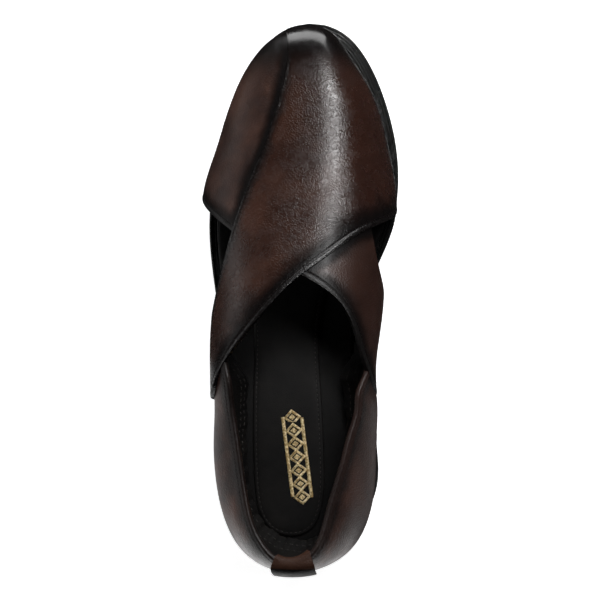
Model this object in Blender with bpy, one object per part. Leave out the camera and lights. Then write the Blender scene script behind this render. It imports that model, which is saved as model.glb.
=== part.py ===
"""A roman sandal for the left foot, EU size 41, built as a cross-strap closed-toe sandal.

Tables are in millimetres, and a mesh is turned to metres when it is made. The origin is on the floor
under the middle of the heel, +Y points to the toe, +X to the inner (medial) side and +Z up.
Sides are numbered: LATERAL = -1 is the outer side of the foot and MEDIAL = +1 is the inner side.
"""

import math

import bmesh
import bpy
import numpy as np

MM = 0.001
LATERAL, MEDIAL = -1, 1
GAP = 0.3                    # clearance between pieces that touch on the real shoe
LEATHER = 2.0                # upper leather with its lining
OVERLAP = 0.8                # how far a lapped panel is set into the one below it
CORE_HEIGHT = 30.0           # height of the middle of the foot, which every panel faces away from

HEEL_END, TOE_END = (0.0, -40.2), (2.7, 248.5)
HEEL_BREAST = 43.0           # y of the heel's front face at the centre line
BREAST_SKEW = 0.12           # the breast runs forward to the medial side
WELT_HEIGHT = 3.0
LUG_HEIGHT = 2.5

# Plan of the sole: x of its lateral and medial edge at each y.
EDGE_ROWS = [
    # y, lateral, medial
    (-34.0, -21.8, 20.0),
    (-22.0, -32.6, 32.0),
    (-6.0, -38.1, 38.1),
    (16.0, -41.7, 37.8),
    (44.0, -44.7, 34.0),
    (66.0, -47.0, 29.2),
    (88.0, -50.2, 29.8),
    (112.0, -54.3, 36.4),
    (138.0, -56.6, 46.1),
    (160.0, -55.0, 49.5),
    (184.0, -50.3, 48.0),
    (208.0, -41.7, 42.0),
    (228.0, -30.7, 33.4),
    (242.0, -17.8, 21.8),
]

# Side view of the sole: height of the lugs' faces, of the sole's underside and of the welt's top.
PROFILE_ROWS = [
    # y, tread, underside, top
    (-40.0, 0.0, 18.2, 27.2),
    (0.0, 0.0, 17.9, 26.6),
    (38.0, 0.0, 17.2, 25.2),
    (60.0, 6.0, 13.0, 22.0),
    (82.0, 5.2, 7.7, 18.0),
    (102.0, 1.7, 4.2, 14.9),
    (122.0, 0.2, 2.7, 13.0),
    (138.0, 0.0, 2.5, 12.5),
    (176.0, 0.0, 2.5, 12.5),
    (196.0, 0.8, 3.3, 13.6),
    (216.0, 3.0, 5.5, 16.0),
    (236.0, 6.9, 9.4, 19.8),
    (249.0, 10.0, 12.5, 22.8),
]

# Distance from the sole's edge in to the foot of the upper.
FEATHER_ROWS = [
    # y, lateral, medial
    (-41.0, 1.6, 1.6),
    (20.0, 1.6, 1.6),
    (70.0, 1.8, 1.2),
    (110.0, 2.6, 1.4),
    (148.0, 3.0, 1.2),
    (170.0, 3.2, 4.4),
    (186.0, 3.3, 5.8),
    (204.0, 3.4, 6.0),
    (226.0, 3.5, 8.2),
    (240.0, 3.3, 7.2),
    (246.0, 3.2, 4.4),
    (248.6, 3.2, 3.2),
]

# Sections of the forepart. A bulge is how far the widest place stands out past the foot of the
# upper, and its height is a share of the section's height.
SECTION_ROWS = [
    # y, crown_x, lateral_bulge, lateral_height, medial_bulge, medial_height, peak
    (36.0, 1.0, 1.2, 0.40, 7.6, 0.42, 1.00),
    (58.0, 2.0, 0.6, 0.42, 11.4, 0.44, 1.00),
    (80.0, 3.5, -1.2, 0.44, 15.2, 0.46, 1.00),
    (102.0, 6.0, -4.4, 0.44, 13.2, 0.46, 1.00),
    (124.0, 9.0, -2.2, 0.38, 6.5, 0.42, 1.00),
    (144.0, 11.0, 3.2, 0.32, 2.6, 0.32, 1.00),
    (160.0, 12.0, 3.8, 0.30, 1.0, 0.26, 0.98),
    (184.0, 12.0, 1.2, 0.30, 0.4, 0.24, 0.94),
    (212.0, 10.0, 1.8, 0.34, 0.4, 0.28, 0.90),
    (234.0, 6.5, 1.4, 0.42, 0.4, 0.38, 0.88),
    (246.0, 3.2, 0.0, 0.50, 0.0, 0.50, 0.88),
]

# The top line of the forepart from the side, from the tip of the toe back to above the instep.
CROWN_POINTS = [
    # y, z
    (245.6, 22.0),
    (245.9, 27.0),
    (243.6, 34.0),
    (238.0, 39.6),
    (228.0, 43.8),
    (206.0, 49.0),
    (182.0, 54.4),
    (156.0, 61.2),
    (132.0, 68.2),
    (108.0, 75.6),
    (84.0, 82.8),
    (60.0, 89.6),
    (30.0, 97.0),
]

# The quarter's wings lie on the sections of the forepart, cut off at a share of their leather.
WING_ROWS = [
    # y, lateral_cut, medial_cut
    (92.0, 0.44, 0.60),
    (84.0, 0.43, 0.59),
    (76.0, 0.42, 0.575),
    (68.0, 0.40, 0.555),
    (60.0, 0.37, 0.53),
]
# Ribs of the quarter round the heel: y of its foot, then its widest place and its top edge.
HEEL_RIB_ROWS = [
    # side, foot_y, wide_x, wide_y, wide_z, top_x, top_y, top_z
    (LATERAL, 44.0, -44.8, 44.0, 46.0, -30.4, 44.0, 75.0),
    (LATERAL, 22.0, -45.4, 22.0, 46.0, -26.8, 22.0, 76.0),
    (LATERAL, 2.0, -44.0, 1.0, 47.0, -23.2, 1.0, 78.5),
    (LATERAL, -16.0, -39.4, -18.0, 48.0, -18.6, -17.0, 81.5),
    (LATERAL, -30.0, -29.4, -35.0, 49.0, -11.0, -29.5, 84.5),
    (MEDIAL, HEEL_END[1], 1.4, -46.2, 51.0, 2.2, -36.6, 87.0),
    (MEDIAL, -30.0, 29.2, -34.0, 49.0, 15.8, -29.0, 84.5),
    (MEDIAL, -16.0, 38.0, -17.0, 48.0, 20.8, -16.0, 81.5),
    (MEDIAL, 2.0, 41.0, 2.0, 47.0, 25.8, 2.0, 78.5),
    (MEDIAL, 22.0, 41.6, 22.0, 46.5, 31.8, 22.0, 76.0),
    (MEDIAL, 44.0, 42.0, 44.0, 46.5, 36.4, 44.0, 73.0),
]


def cubic(knots, values):
    """A smooth function through rows of values: a natural cubic spline."""
    knots = np.asarray(knots, float)
    values = np.asarray(values, float)
    step = np.diff(knots)
    last = len(knots) - 1
    system = np.eye(last + 1)
    bend = np.zeros_like(values)
    for i in range(1, last):
        system[i, i - 1 : i + 2] = step[i - 1], 2 * (step[i - 1] + step[i]), step[i]
        slope = (values[i + 1] - values[i]) / step[i]
        bend[i] = 6 * (slope - (values[i] - values[i - 1]) / step[i - 1])
    bend = np.linalg.solve(system, bend)

    def at(place):
        place = np.clip(np.asarray(place, float), knots[0], knots[-1])
        i = np.clip(np.searchsorted(knots, place) - 1, 0, last - 1)
        shape = place.shape + (1,) * (values.ndim - 1)
        h = step[i].reshape(shape)
        a = (knots[i + 1] - place).reshape(shape)
        b = (place - knots[i]).reshape(shape)
        return (
            (bend[i] * a**3 + bend[i + 1] * b**3) / (6 * h)
            + (values[i] / h - bend[i] * h / 6) * a
            + (values[i + 1] / h - bend[i + 1] * h / 6) * b
        )

    return at


def eased(share):
    """A smooth step from 0 to 1."""
    share = np.clip(share, 0, 1)
    return share**2 * (3 - 2 * share)


def by_first(rows):
    """A smooth function of a table's first column that gives its other columns."""
    rows = np.array(rows, float)
    order = np.argsort(rows[:, 0])
    return cubic(rows[order, 0], rows[order, 1:])


def through(points, count):
    """Evenly spread points on the smooth curve through the given ones."""
    points = np.array(points, float)
    run = np.concatenate([[0], np.cumsum(np.linalg.norm(np.diff(points, axis=0), axis=1))])
    return cubic(run, points)(np.linspace(0, run[-1], count))


profile = by_first(PROFILE_ROWS)
feather_inset = by_first(FEATHER_ROWS)
section = by_first(SECTION_ROWS)


def tread(y):
    """Height of the lugs' faces, flat on the ground under the ball of the foot."""
    return np.maximum(profile(y)[..., 0], 0.0)


def underside(y):
    return profile(y)[..., 1]


def sole_top(y):
    return profile(y)[..., 2]


def sole_edges():
    """The lateral and the medial edge of the sole, each from the heel end to the toe end."""
    rows = np.array(EDGE_ROWS)
    lateral = [HEEL_END, *rows[:, [1, 0]], TOE_END]
    medial = [HEEL_END, *rows[:, [2, 0]], TOE_END]
    loop = lateral + medial[-2:0:-1]
    wrapped = loop[-3:] + loop + loop[:4]
    points = np.array(wrapped)
    run = np.concatenate([[0], np.cumsum(np.linalg.norm(np.diff(points, axis=0), axis=1))])
    curve = cubic(run, points)
    heel, toe, back = run[3], run[3 + len(lateral) - 1], run[3 + len(loop)]
    return curve(np.linspace(heel, toe, 400)), curve(np.linspace(back, toe, 400))


EDGES = dict(zip((LATERAL, MEDIAL), sole_edges()))


def inset_edge(side, inset):
    """One edge of the sole moved in by a distance, which may be a function of y."""
    edge = EDGES[side]
    along = np.gradient(edge, axis=0)
    along /= np.linalg.norm(along, axis=1, keepdims=True)
    outward = np.stack([-along[:, 1], along[:, 0]], axis=1) * -side
    outward[0], outward[-1] = (0, -1), (0, 1)
    distance = inset(edge[:, 1]) if callable(inset) else inset
    return edge - outward * np.reshape(distance, (-1, 1))


def feather_distance(side):
    column = 0 if side == LATERAL else 1
    return lambda y: feather_inset(y)[..., column]


FEATHER = {side: inset_edge(side, feather_distance(side)) for side in (LATERAL, MEDIAL)}
FEATHER_TIP = FEATHER[MEDIAL][-1, 1]


def foot_x(side, y):
    """x of the upper's foot on one side at a given y."""
    curve = FEATHER[side]
    return np.interp(y, np.maximum.accumulate(curve[:, 1]), curve[:, 0])


CROWN_LINE = through(CROWN_POINTS, 400)[::-1]


def crown_z(y):
    return np.interp(y, np.maximum.accumulate(CROWN_LINE[:, 0]), CROWN_LINE[:, 1])


def section_sizes(side, y):
    """The sizes of one side of a section: its crown, widest place, foot and lengths of leather."""
    row = section(y)
    crown_x, peak = row[..., 0], row[..., 5]
    bulge, share = (row[..., 1], row[..., 2]) if side == LATERAL else (row[..., 3], row[..., 4])
    top = crown_z(y)
    foot_z = sole_top(y) + GAP
    foot = foot_x(side, y)
    wide_z = foot_z + share * np.maximum(top - foot_z, 0.0)
    wide = foot + side * bulge
    arch = math.pi / 2 * np.sqrt(((wide - crown_x) ** 2 + (top - wide_z) ** 2) / 2)
    wall = np.hypot(bulge, wide_z - foot_z)
    return crown_x, top, wide, wide_z, foot, foot_z, peak, arch, wall


def section_point(side, q, y):
    """A point of the section at y, from q = 0 at the crown to q = 1 at the foot of one side."""
    crown_x, top, wide, wide_z, foot, foot_z, peak, arch, wall = section_sizes(side, y)
    shoulder = arch / np.maximum(arch + wall, 1e-6)
    turn = np.clip(q / np.maximum(shoulder, 1e-6), 0, 1) * math.pi / 2
    over_x = crown_x + (wide - crown_x) * np.sin(turn) ** peak
    over_z = wide_z + (top - wide_z) * np.cos(turn) ** peak
    down = np.clip((q - shoulder) / np.maximum(1 - shoulder, 1e-6), 0, 1)
    wall_x = wide + (foot - wide) * down**2
    wall_z = wide_z + (foot_z - wide_z) * down
    above = q < shoulder
    return np.stack([np.where(above, over_x, wall_x), y + 0 * q, np.where(above, over_z, wall_z)], -1)


def vamp(v, y):
    """A point of the forepart: v = -1 at the lateral foot, 0 at the crown, 1 at the medial foot."""
    v, y = np.broadcast_arrays(np.asarray(v, float), np.asarray(y, float))
    lateral = section_point(LATERAL, np.abs(v), y)
    medial = section_point(MEDIAL, np.abs(v), y)
    return np.where((v < 0)[..., None], lateral, medial)


def girth(side, y):
    """Length of leather from the crown down to the foot on one side."""
    sizes = section_sizes(side, y)
    return sizes[-2] + sizes[-1]


def unroll(v, y):
    """A point of the forepart as a place on the flat leather."""
    v, y = np.asarray(v, float), np.asarray(y, float)
    flat = np.where(v < 0, girth(LATERAL, y), girth(MEDIAL, y))
    return np.stack([section(y)[..., 0] + v * flat, y], -1)


def roll_up(flat):
    """A place on the flat leather as a point of the forepart."""
    x, y = flat[..., 0], np.minimum(flat[..., 1], FEATHER_TIP)
    beside = x - section(y)[..., 0]
    reach = np.where(beside < 0, girth(LATERAL, y), girth(MEDIAL, y))
    return vamp(np.clip(beside / np.maximum(reach, 1e-3), -1, 1), y)


def cut_edge(rows, count, crowd=1.2):
    """A panel's cut edge on the flat leather, through rows of (v, y), closer together at the toe."""
    dense = through([unroll(v, y) for v, y in rows], 40 * count)
    pick = np.linspace(0, 1, count) ** crowd * (len(dense) - 1)
    return dense[np.round(pick).astype(int)]


def foot_run(side, start, end, count):
    """A panel's foot on the flat leather, along one side from y = start to y = end."""
    y = np.linspace(start, end, count)
    return unroll(np.full(count, float(side)), y)


def spread(points, count, crowd=1.35):
    """The same run of points, spread along its length and closer together at its start."""
    run = np.concatenate([[0], np.cumsum(np.linalg.norm(np.diff(points, axis=0), axis=1))])
    place = run[-1] * np.linspace(0, 1, count) ** crowd
    return np.stack([np.interp(place, run, points[:, k]) for k in range(points.shape[1])], -1)


def patch(front, rear, start, end):
    """A four-sided panel filled in between its edges: front and rear run from start to end."""
    a, b = (
        np.concatenate([[0], np.cumsum(np.linalg.norm(np.diff(side, axis=0), axis=1))])
        for side in (rear, start)
    )
    a, b = (a / a[-1])[:, None, None], (b / b[-1])[None, :, None]
    ruled = (1 - b) * front[:, None] + b * rear[:, None]
    ended = (1 - a) * start[None] + a * end[None]
    corners = (
        (1 - a) * (1 - b) * front[0]
        + (1 - a) * b * rear[0]
        + a * (1 - b) * front[-1]
        + a * b * rear[-1]
    )
    return ruled + ended - corners


def grid_normals(grid):
    """Unit normals of a grid of points."""
    along = np.gradient(grid, axis=0)
    across = np.gradient(grid, axis=1)
    normal = np.cross(along, across)
    normal /= np.maximum(np.linalg.norm(normal, axis=-1, keepdims=True), 1e-9)
    core = np.stack([0 * grid[..., 0], grid[..., 1], 0 * grid[..., 2] + CORE_HEIGHT], -1)
    return normal * np.sign((normal * (grid - core)).sum())


def plate(grid, inner, outer, feet=(), clear=GAP):
    """Points and faces of a sheet of leather between two offsets from a grid of points.

    feet names the grid's borders that stand on the welt, where the offset stays level, and clear
    is the height of those feet above it.
    """
    normal = grid_normals(grid)
    low, high = (
        grid + normal * np.broadcast_to(np.asarray(offset, float), grid.shape[:2])[..., None]
        for offset in (inner, outer)
    )
    for layer in (low, high):
        layer[..., 2] = np.maximum(layer[..., 2], sole_top(layer[..., 1]) + clear)
    for border in feet:
        pick = {"start": np.s_[0, :], "end": np.s_[-1, :]}[border]
        for layer in (low, high):
            layer[pick + (2,)] = sole_top(layer[pick + (1,)]) + clear
    rows, columns = grid.shape[:2]
    index = np.arange(rows * columns).reshape(rows, columns)
    top, bottom = index, index + rows * columns
    faces = []
    for i in range(rows - 1):
        for j in range(columns - 1):
            faces.append([top[i, j], top[i + 1, j], top[i + 1, j + 1], top[i, j + 1]])
            faces.append([bottom[i, j], bottom[i, j + 1], bottom[i + 1, j + 1], bottom[i + 1, j]])
    rim = [*index[:-1, 0], *index[-1, :-1], *index[:0:-1, -1], *index[0, :0:-1]]
    for p, q in zip(rim, rim[1:] + rim[:1]):
        faces.append([q, p, p + rows * columns, q + rows * columns])
    return np.concatenate([high.reshape(-1, 3), low.reshape(-1, 3)]), faces


def finish_of(name, colour, roughness, metallic=0.0):
    """A plain material with the piece's colour."""
    material = bpy.data.materials.new(name)
    material.use_nodes = True
    shader = material.node_tree.nodes["Principled BSDF"]
    shader.inputs["Base Color"].default_value = (*colour, 1)
    shader.inputs["Roughness"].default_value = roughness
    shader.inputs["Metallic"].default_value = metallic
    material.diffuse_color = (*colour, 1)
    return material


def piece(name, points, faces, material=None, smooth=40):
    """An object from points in millimetres, with its faces turned outwards."""
    mesh = bpy.data.meshes.new(name)
    places = (np.asarray(points) * MM).tolist()
    mesh.from_pydata(places, [], [list(map(int, face)) for face in faces])
    work = bmesh.new()
    work.from_mesh(mesh)
    bmesh.ops.recalc_face_normals(work, faces=work.faces)
    work.to_mesh(mesh)
    work.free()
    mesh.shade_smooth()
    mesh.set_sharp_from_angle(angle=math.radians(smooth))
    made = bpy.data.objects.new(name, mesh)
    bpy.context.scene.collection.objects.link(made)
    if material:
        mesh.materials.append(material)
    return made


def join_with(target, helper, solver="EXACT"):
    """Fuses a helper solid into a piece, and keeps the helper out of the model."""
    helper.hide_render = True
    helper.display_type = "WIRE"
    union = target.modifiers.new("with " + helper.name, "BOOLEAN")
    union.operation = "UNION"
    union.solver = solver
    union.object = helper
    return target


def settle(target, smooth=40):
    """Replaces a fused piece's mesh by its result, and marks the edges that the fusing made sharp."""
    graph = bpy.context.evaluated_depsgraph_get()
    fused = bpy.data.meshes.new_from_object(target.evaluated_get(graph))
    target.modifiers.clear()
    target.data = fused
    fused.name = target.name
    fused.shade_smooth()
    fused.set_sharp_from_angle(angle=math.radians(smooth))
    return target


# The sole -------------------------------------------------------------------------------------

def side_stations(count, end_low, end_high):
    """Places along y that crowd towards both ends, where the outline turns."""
    turn = np.linspace(0, math.pi, count)
    even = np.linspace(0, 1, count)
    share = 0.55 * (1 - np.cos(turn)) / 2 + 0.45 * even
    return end_low + (end_high - end_low) * share


def ring(inset, count):
    """A closed ring of plan points: up the lateral side from the heel end, and back down the medial.

    The inset from the sole's edge is a distance, a function of y, or one of these for each side.
    """
    sides = []
    for side in (LATERAL, MEDIAL):
        curve = inset_edge(side, inset[side] if isinstance(inset, dict) else inset)
        rise = np.maximum.accumulate(curve[:, 1])
        y = side_stations(count, curve[0, 1], curve[-1, 1])
        sides.append(np.stack([np.interp(y, rise, curve[:, 0]), y], -1))
    return np.concatenate([sides[0], sides[1][-2:0:-1]])


def stack_faces(levels, length):
    """Faces between rings of equally many points, in the order of the levels."""
    faces = []
    for low, high in zip(levels, levels[1:]):
        for i in range(length):
            j = (i + 1) % length
            faces.append([low * length + i, low * length + j, high * length + j, high * length + i])
    return faces


def cap_faces(level, length):
    """Faces across a ring of points, between the run out from its first point and the run back."""
    base = level * length
    faces = []
    for i in range(length // 2):
        quad = [base + i, base + i + 1, base + length - i - 1, base + (length - i) % length]
        corners = list(dict.fromkeys(quad))
        if len(corners) > 2:
            faces.append(corners)
    return faces


def capped(rings, hollow=False):
    """Faces of a stack of rings from bottom to top, closed across at both ends, or round a hole."""
    length, top = len(rings[0]), len(rings) - 1
    if hollow:
        return stack_faces([*range(len(rings)), 0], length)
    caps = cap_faces(0, length) + [face[::-1] for face in cap_faces(top, length)]
    return stack_faces(range(len(rings)), length) + caps


def layered(name, layers, count, material, hollow=False, smooth=40):
    """A sole layer from rows of (inset, height function), lowest first."""
    rings = []
    for inset, height in layers:
        plan = ring(inset, count)
        rings.append(np.column_stack([plan, height(plan[:, 1])]))
    return piece(name, np.concatenate(rings), capped(rings, hollow), material, smooth)


def welt_base(y):
    return sole_top(y) - WELT_HEIGHT


def raised(base, rise):
    return lambda y: base(y) + rise


def between(low, high, share):
    return lambda y: low(y) + (high(y) - low(y)) * share


def level(height):
    return lambda y: height + 0 * y


def make_outsole(material, count=38):
    """The outsole: a body with a stepped side, and its lugs."""
    top = raised(welt_base, -GAP)
    body = layered("outsole", [
        (9.0, raised(underside, 0.8)),
        (5.4, raised(underside, 0.8)),
        (5.0, underside),
        (1.6, underside),
        (0.5, between(underside, top, 0.14)),
        (0.2, between(underside, top, 0.52)),
        (0.9, between(underside, top, 0.58)),
        (0.9, between(underside, top, 0.68)),
        (0.0, between(underside, top, 0.76)),
        (0.0, top),
    ], count, material)
    return settle(join_with(body, make_lugs()), 30)


# Grooves between the blocks along each side of the forepart.
BLOCK_ROWS = {
    # side: y of the groove at the sole's rim and at the pod
    LATERAL: [
        (102.0, 116.0), (124.0, 130.0), (140.0, 143.5), (154.0, 155.5), (167.0, 166.5), (179.5, 177.0),
        (191.5, 188.0), (203.0, 198.0), (212.5, 206.0), (223.0, 214.0), (232.5, 220.5),
    ],
    MEDIAL: [
        (112.0, 121.0), (130.0, 133.0), (142.5, 144.5), (156.5, 158.0), (169.5, 169.5), (183.0, 181.0),
        (195.5, 192.0), (207.0, 201.5), (218.0, 210.0), (230.0, 217.5),
    ],
}
BLOCK_RIM = 6.2              # from the sole's edge to the blocks
GROOVE = 2.2                 # width of the grooves between lugs
LUG_ROOT = 1.2               # how far the lugs are set into the sole
# The teardrop outline of the pod, up its lateral side to the tip and down its medial side.
POD_POINTS = [
    (-24.0, 117.0), (-28.4, 136.0), (-29.2, 153.0), (-27.2, 170.0), (-22.8, 188.0), (-14.8, 206.0),
    (3.0, 223.5), (12.6, 217.0), (18.2, 203.0), (21.6, 187.5), (23.8, 172.0), (23.2, 158.0),
    (19.6, 144.0), (9.0, 127.0),
]
# Bars of the pod, each as its corners in plan.
POD_BARS = [
    [(-13.5, 194.5), (-8.5, 206.5), (1.5, 219.5), (5.0, 219.0), (-9.0, 199.0)],
    [(-11.5, 192.0), (6.8, 215.5), (10.2, 206.5), (-4.8, 186.0)],
    [(-5.2, 181.5), (11.8, 202.6), (15.4, 194.6), (0.8, 174.4)],
    [(1.6, 171.6), (16.2, 189.2), (18.8, 181.2), (5.2, 167.4)],
    [(6.2, 164.0), (19.4, 177.6), (20.6, 164.6), (6.2, 150.6), (1.0, 156.0)],
    [(-14.8, 191.6), (-7.8, 181.4), (-19.4, 167.4), (-21.6, 173.4)],
    [(-6.2, 179.2), (-0.6, 171.4), (-11.4, 157.6), (-17.8, 166.6)],
    [(0.6, 169.4), (3.6, 164.4), (-6.0, 154.6), (-9.4, 156.8)],
    [(-23.6, 168.4), (-20.4, 164.6), (-25.8, 157.4)],
    [(-19.0, 162.2), (-13.2, 154.8), (-25.8, 139.4), (-26.2, 150.6)],
    [(-11.4, 152.8), (-8.6, 149.6), (-24.2, 128.8), (-25.6, 134.6)],
    [(-4.4, 152.4), (0.2, 148.8), (-5.8, 141.8), (-8.2, 144.6)],
    [(20.4, 160.4), (18.8, 149.4), (10.6, 131.2), (1.0, 138.6)],
]
# The three lugs at the tip of the toe.
TOE_LUGS = [
    [(-12.6, 235.0), (-6.2, 238.4), (-2.4, 227.4), (-4.6, 223.0)],
    [(-3.4, 239.6), (9.4, 239.6), (5.4, 227.6), (0.4, 227.6)],
    [(11.8, 238.6), (19.8, 233.4), (10.4, 219.8), (7.2, 226.6)],
]
# The ridge that closes the tread behind the ball of the foot, along its outer edge.
CHEVRON = [(-36.0, 99.4), (-22.6, 120.0), (-9.4, 140.0), (4.6, 122.0), (18.8, 104.0)]
CHEVRON_WIDTH = 2.4


def offset_line(path, distance):
    """A line of points moved sideways, to the left of its run, by a distance."""
    along = np.gradient(np.array(path, float), axis=0)
    along /= np.linalg.norm(along, axis=1, keepdims=True)
    return path + np.stack([-along[:, 1], along[:, 0]], -1) * distance


def prism(points, low, high):
    """Points and faces of a solid with an outline in plan, between two height functions of y."""
    plan = np.array(points, float)
    count = len(plan)
    stack = np.concatenate([
        np.column_stack([plan, low(plan[:, 1])]),
        np.column_stack([plan, high(plan[:, 1])]),
    ])
    faces = [list(range(count))[::-1], list(range(count, 2 * count))]
    faces += [[i, (i + 1) % count, count + (i + 1) % count, count + i] for i in range(count)]
    return stack, faces


def gathered(name, solids, material=None):
    """Several solids that don't touch, as one object."""
    points, faces = [], []
    start = 0
    for solid_points, solid_faces in solids:
        points.append(solid_points)
        faces += [[start + i for i in face] for face in solid_faces]
        start += len(solid_points)
    return piece(name, np.concatenate(points), faces, material)


def pod_x(side, y):
    """x of the teardrop channel round the middle of the forepart."""
    pod = np.array(POD_POINTS)
    tip = int(np.argmax(pod[:, 1]))
    run = pod[: tip + 1] if side == LATERAL else pod[tip:][::-1]
    return np.interp(y, run[:, 1], run[:, 0])


def make_lugs():
    """Lugs of the forepart: a rim of blocks, three at the toe, the pod's bars and the chevron."""
    solids = []
    face, root = tread, raised(underside, LUG_ROOT)
    for side, rows in BLOCK_ROWS.items():
        edge = inset_edge(side, BLOCK_RIM)
        rise = np.maximum.accumulate(edge[:, 1])
        half = GROOVE / 2
        for (outer_low, inner_low), (outer_high, inner_high) in zip(rows, rows[1:]):
            outer = [(np.interp(y, rise, edge[:, 0]), y) for y in (outer_low + half, outer_high - half)]
            inner = [(pod_x(side, y) + side * GROOVE, y) for y in (inner_low + half, inner_high - half)]
            solids.append(prism([outer[0], outer[1], inner[1], inner[0]], face, root))
    solids += [prism(corners, face, root) for corners in TOE_LUGS + POD_BARS]
    crest = np.array(CHEVRON)
    solids.append(prism(np.concatenate([crest, offset_line(crest, -CHEVRON_WIDTH)[::-1]]), face, root))
    return gathered("outsole_lugs", solids)


def make_welt(material, count=38):
    """The welt: a strip round the top of the sole with two raised ribs along it."""
    low = welt_base
    top = sole_top
    return layered("welt", [
        (12.0, low),
        (0.8, low),
        (0.3, between(low, top, 0.30)),
        (0.0, between(low, top, 0.50)),
        (0.2, raised(top, -0.3)),
        (0.8, top),
        (1.8, top),
        (2.2, raised(top, -0.7)),
        (2.8, raised(top, -0.7)),
        (3.2, raised(top, -0.1)),
        (12.0, raised(top, -0.1)),
    ], count, material, hollow=True)


def breast_y(x):
    return HEEL_BREAST + BREAST_SKEW * x


# The side of the heel, from its tread up to the sole.
HEEL_SIDE = [
    # inset from the sole's edge, share of the height
    (1.2, 0.0),
    (0.6, 0.06),
    (1.0, 0.30),
    (1.5, 0.60),
    (1.5, 0.86),
    (1.0, 0.90),
    (1.0, 1.0),
]


def make_heel(material, count=15):
    """The heel block: a stack with a waisted side, cut off at the breast, with its tread blocks."""
    top = raised(underside, -GAP)
    rings = []
    for inset, share in HEEL_SIDE:
        sides = []
        for side in (LATERAL, MEDIAL):
            curve = inset_edge(side, inset)
            rise = np.maximum.accumulate(curve[:, 1])
            breast = HEEL_BREAST
            for _ in range(4):
                breast = breast_y(np.interp(breast, rise, curve[:, 0]))
            turn = np.linspace(0, math.pi / 2, count)
            y = curve[0, 1] + (breast - curve[0, 1]) * (0.6 * (1 - np.cos(turn)) + 0.4 * turn / turn[-1])
            sides.append(np.stack([np.interp(y, rise, curve[:, 0]), y], -1))
        plan = np.concatenate([sides[0], sides[1][:0:-1]])
        rise = LUG_HEIGHT + (top(plan[:, 1]) - LUG_HEIGHT) * share
        rings.append(np.column_stack([plan, rise]))
    block = piece("heel", np.concatenate(rings), capped(rings), material)
    return settle(join_with(block, heel_lugs()), 30)


# Grooves across the heel's rim of blocks, from the edge to the panel: lateral side first.
HEEL_GROOVES = [
    # outer_x, outer_y, inner_x, inner_y
    (-42.5, 38.9, -27.0, 40.5),
    (-40.5, 17.4, -26.0, 23.5),
    (-38.0, 1.8, -23.4, 8.4),
    (-32.8, -12.6, -20.2, -4.6),
    (-24.3, -26.3, -16.4, -16.3),
    (-13.1, -36.0, -11.8, -26.0),
    (-0.6, -38.6, -2.6, -24.0),
    (12.0, -35.6, 6.0, -17.4),
    (23.6, -29.0, 14.4, -10.8),
    (33.0, -18.0, 22.4, -4.6),
    (37.0, -3.0, 28.6, 2.4),
    (37.4, 13.6, 27.2, 14.2),
    (36.0, 29.5, 21.6, 33.0),
    (33.4, 46.4, 17.6, 44.4),
]
HEEL_ROOT = 0.8              # how far the heel's blocks are set into it
HEEL_CENTRE = (0.0, 6.0)
HEEL_ROUNDING = 0.9          # how far a block's outer edge is bowed out
HEEL_MARGIN = 0.985          # scale of the blocks' outer edge about the heel's centre
# Ribs on the panel in the middle of the heel.
HEEL_PANEL_BARS = [
    [(-22.0, 32.0), (-18.2, 34.0), (-9.4, -12.0), (-12.0, -16.4)],
    [(-14.8, 35.2), (-10.6, 36.8), (-4.2, 6.2), (2.4, 2.4), (1.0, -2.4), (-6.8, -2.4)],
    [(-6.6, 38.2), (-0.4, 39.6), (10.6, 16.6), (2.2, 8.4)],
    [(4.6, 40.2), (8.0, 40.8), (15.0, 24.6), (12.4, 21.4)],
    [(-7.0, -14.0), (-5.0, -8.6), (19.4, 9.4), (23.0, 6.2)],
]


def heel_lugs():
    """The heel's blocks round its rim and the ribs on its panel, flat on the ground."""
    face, root = level(0.0), level(LUG_HEIGHT + HEEL_ROOT)
    solids = []
    rows = np.array(HEEL_GROOVES)
    centre = np.array(HEEL_CENTRE)
    for low, high in zip(rows, rows[1:]):
        outer = np.array([low[:2], high[:2]])
        inner = np.array([low[2:], high[2:]])
        for pair in (outer, inner):
            along = pair[1] - pair[0]
            along *= (GROOVE / 2) / np.linalg.norm(along)
            pair[0] += along
            pair[1] -= along
        outward = outer.mean(0) - centre
        bowed = outer.mean(0) + outward / np.linalg.norm(outward) * HEEL_ROUNDING
        rim = [centre + (corner - centre) * HEEL_MARGIN for corner in (outer[0], bowed, outer[1])]
        solids.append(prism([*rim, inner[1], inner[0]], face, root))
    solids += [prism(corners, face, root) for corners in HEEL_PANEL_BARS]
    return gathered("heel_lugs", solids)


def insole_inset(trim):
    """From the sole's edge to the insole on each side, which lies inside the foot of the upper."""
    def on(side):
        foot = feather_distance(side)
        return lambda y: foot(y) + LEATHER + trim + 1.6 * eased((y - 226.0) / 12.0)
    return {side: on(side) for side in (LATERAL, MEDIAL)}


def make_insole(material, count=34):
    """The insole board with its padded sock, which follows the sole's top."""
    low = raised(sole_top, GAP)
    return layered("insole", [
        (insole_inset(0.9), low),
        (insole_inset(0.9), raised(sole_top, GAP + 1.9)),
        (insole_inset(1.9), raised(sole_top, GAP + 2.7)),
    ], count, material)


# The upper ------------------------------------------------------------------------------------

def banded(name, outlines, material=None, closed=False):
    """A solid from a row of closed outlines with equally many points, capped or run round."""
    length, count = len(outlines[0]), len(outlines)
    if closed:
        faces = stack_faces([*range(count), 0], length)
    else:
        first, last = list(range(length)), list(range((count - 1) * length, count * length))
        faces = [first, last[::-1]] + stack_faces(range(count), length)
    return piece(name, np.concatenate(outlines), faces, material)


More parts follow.
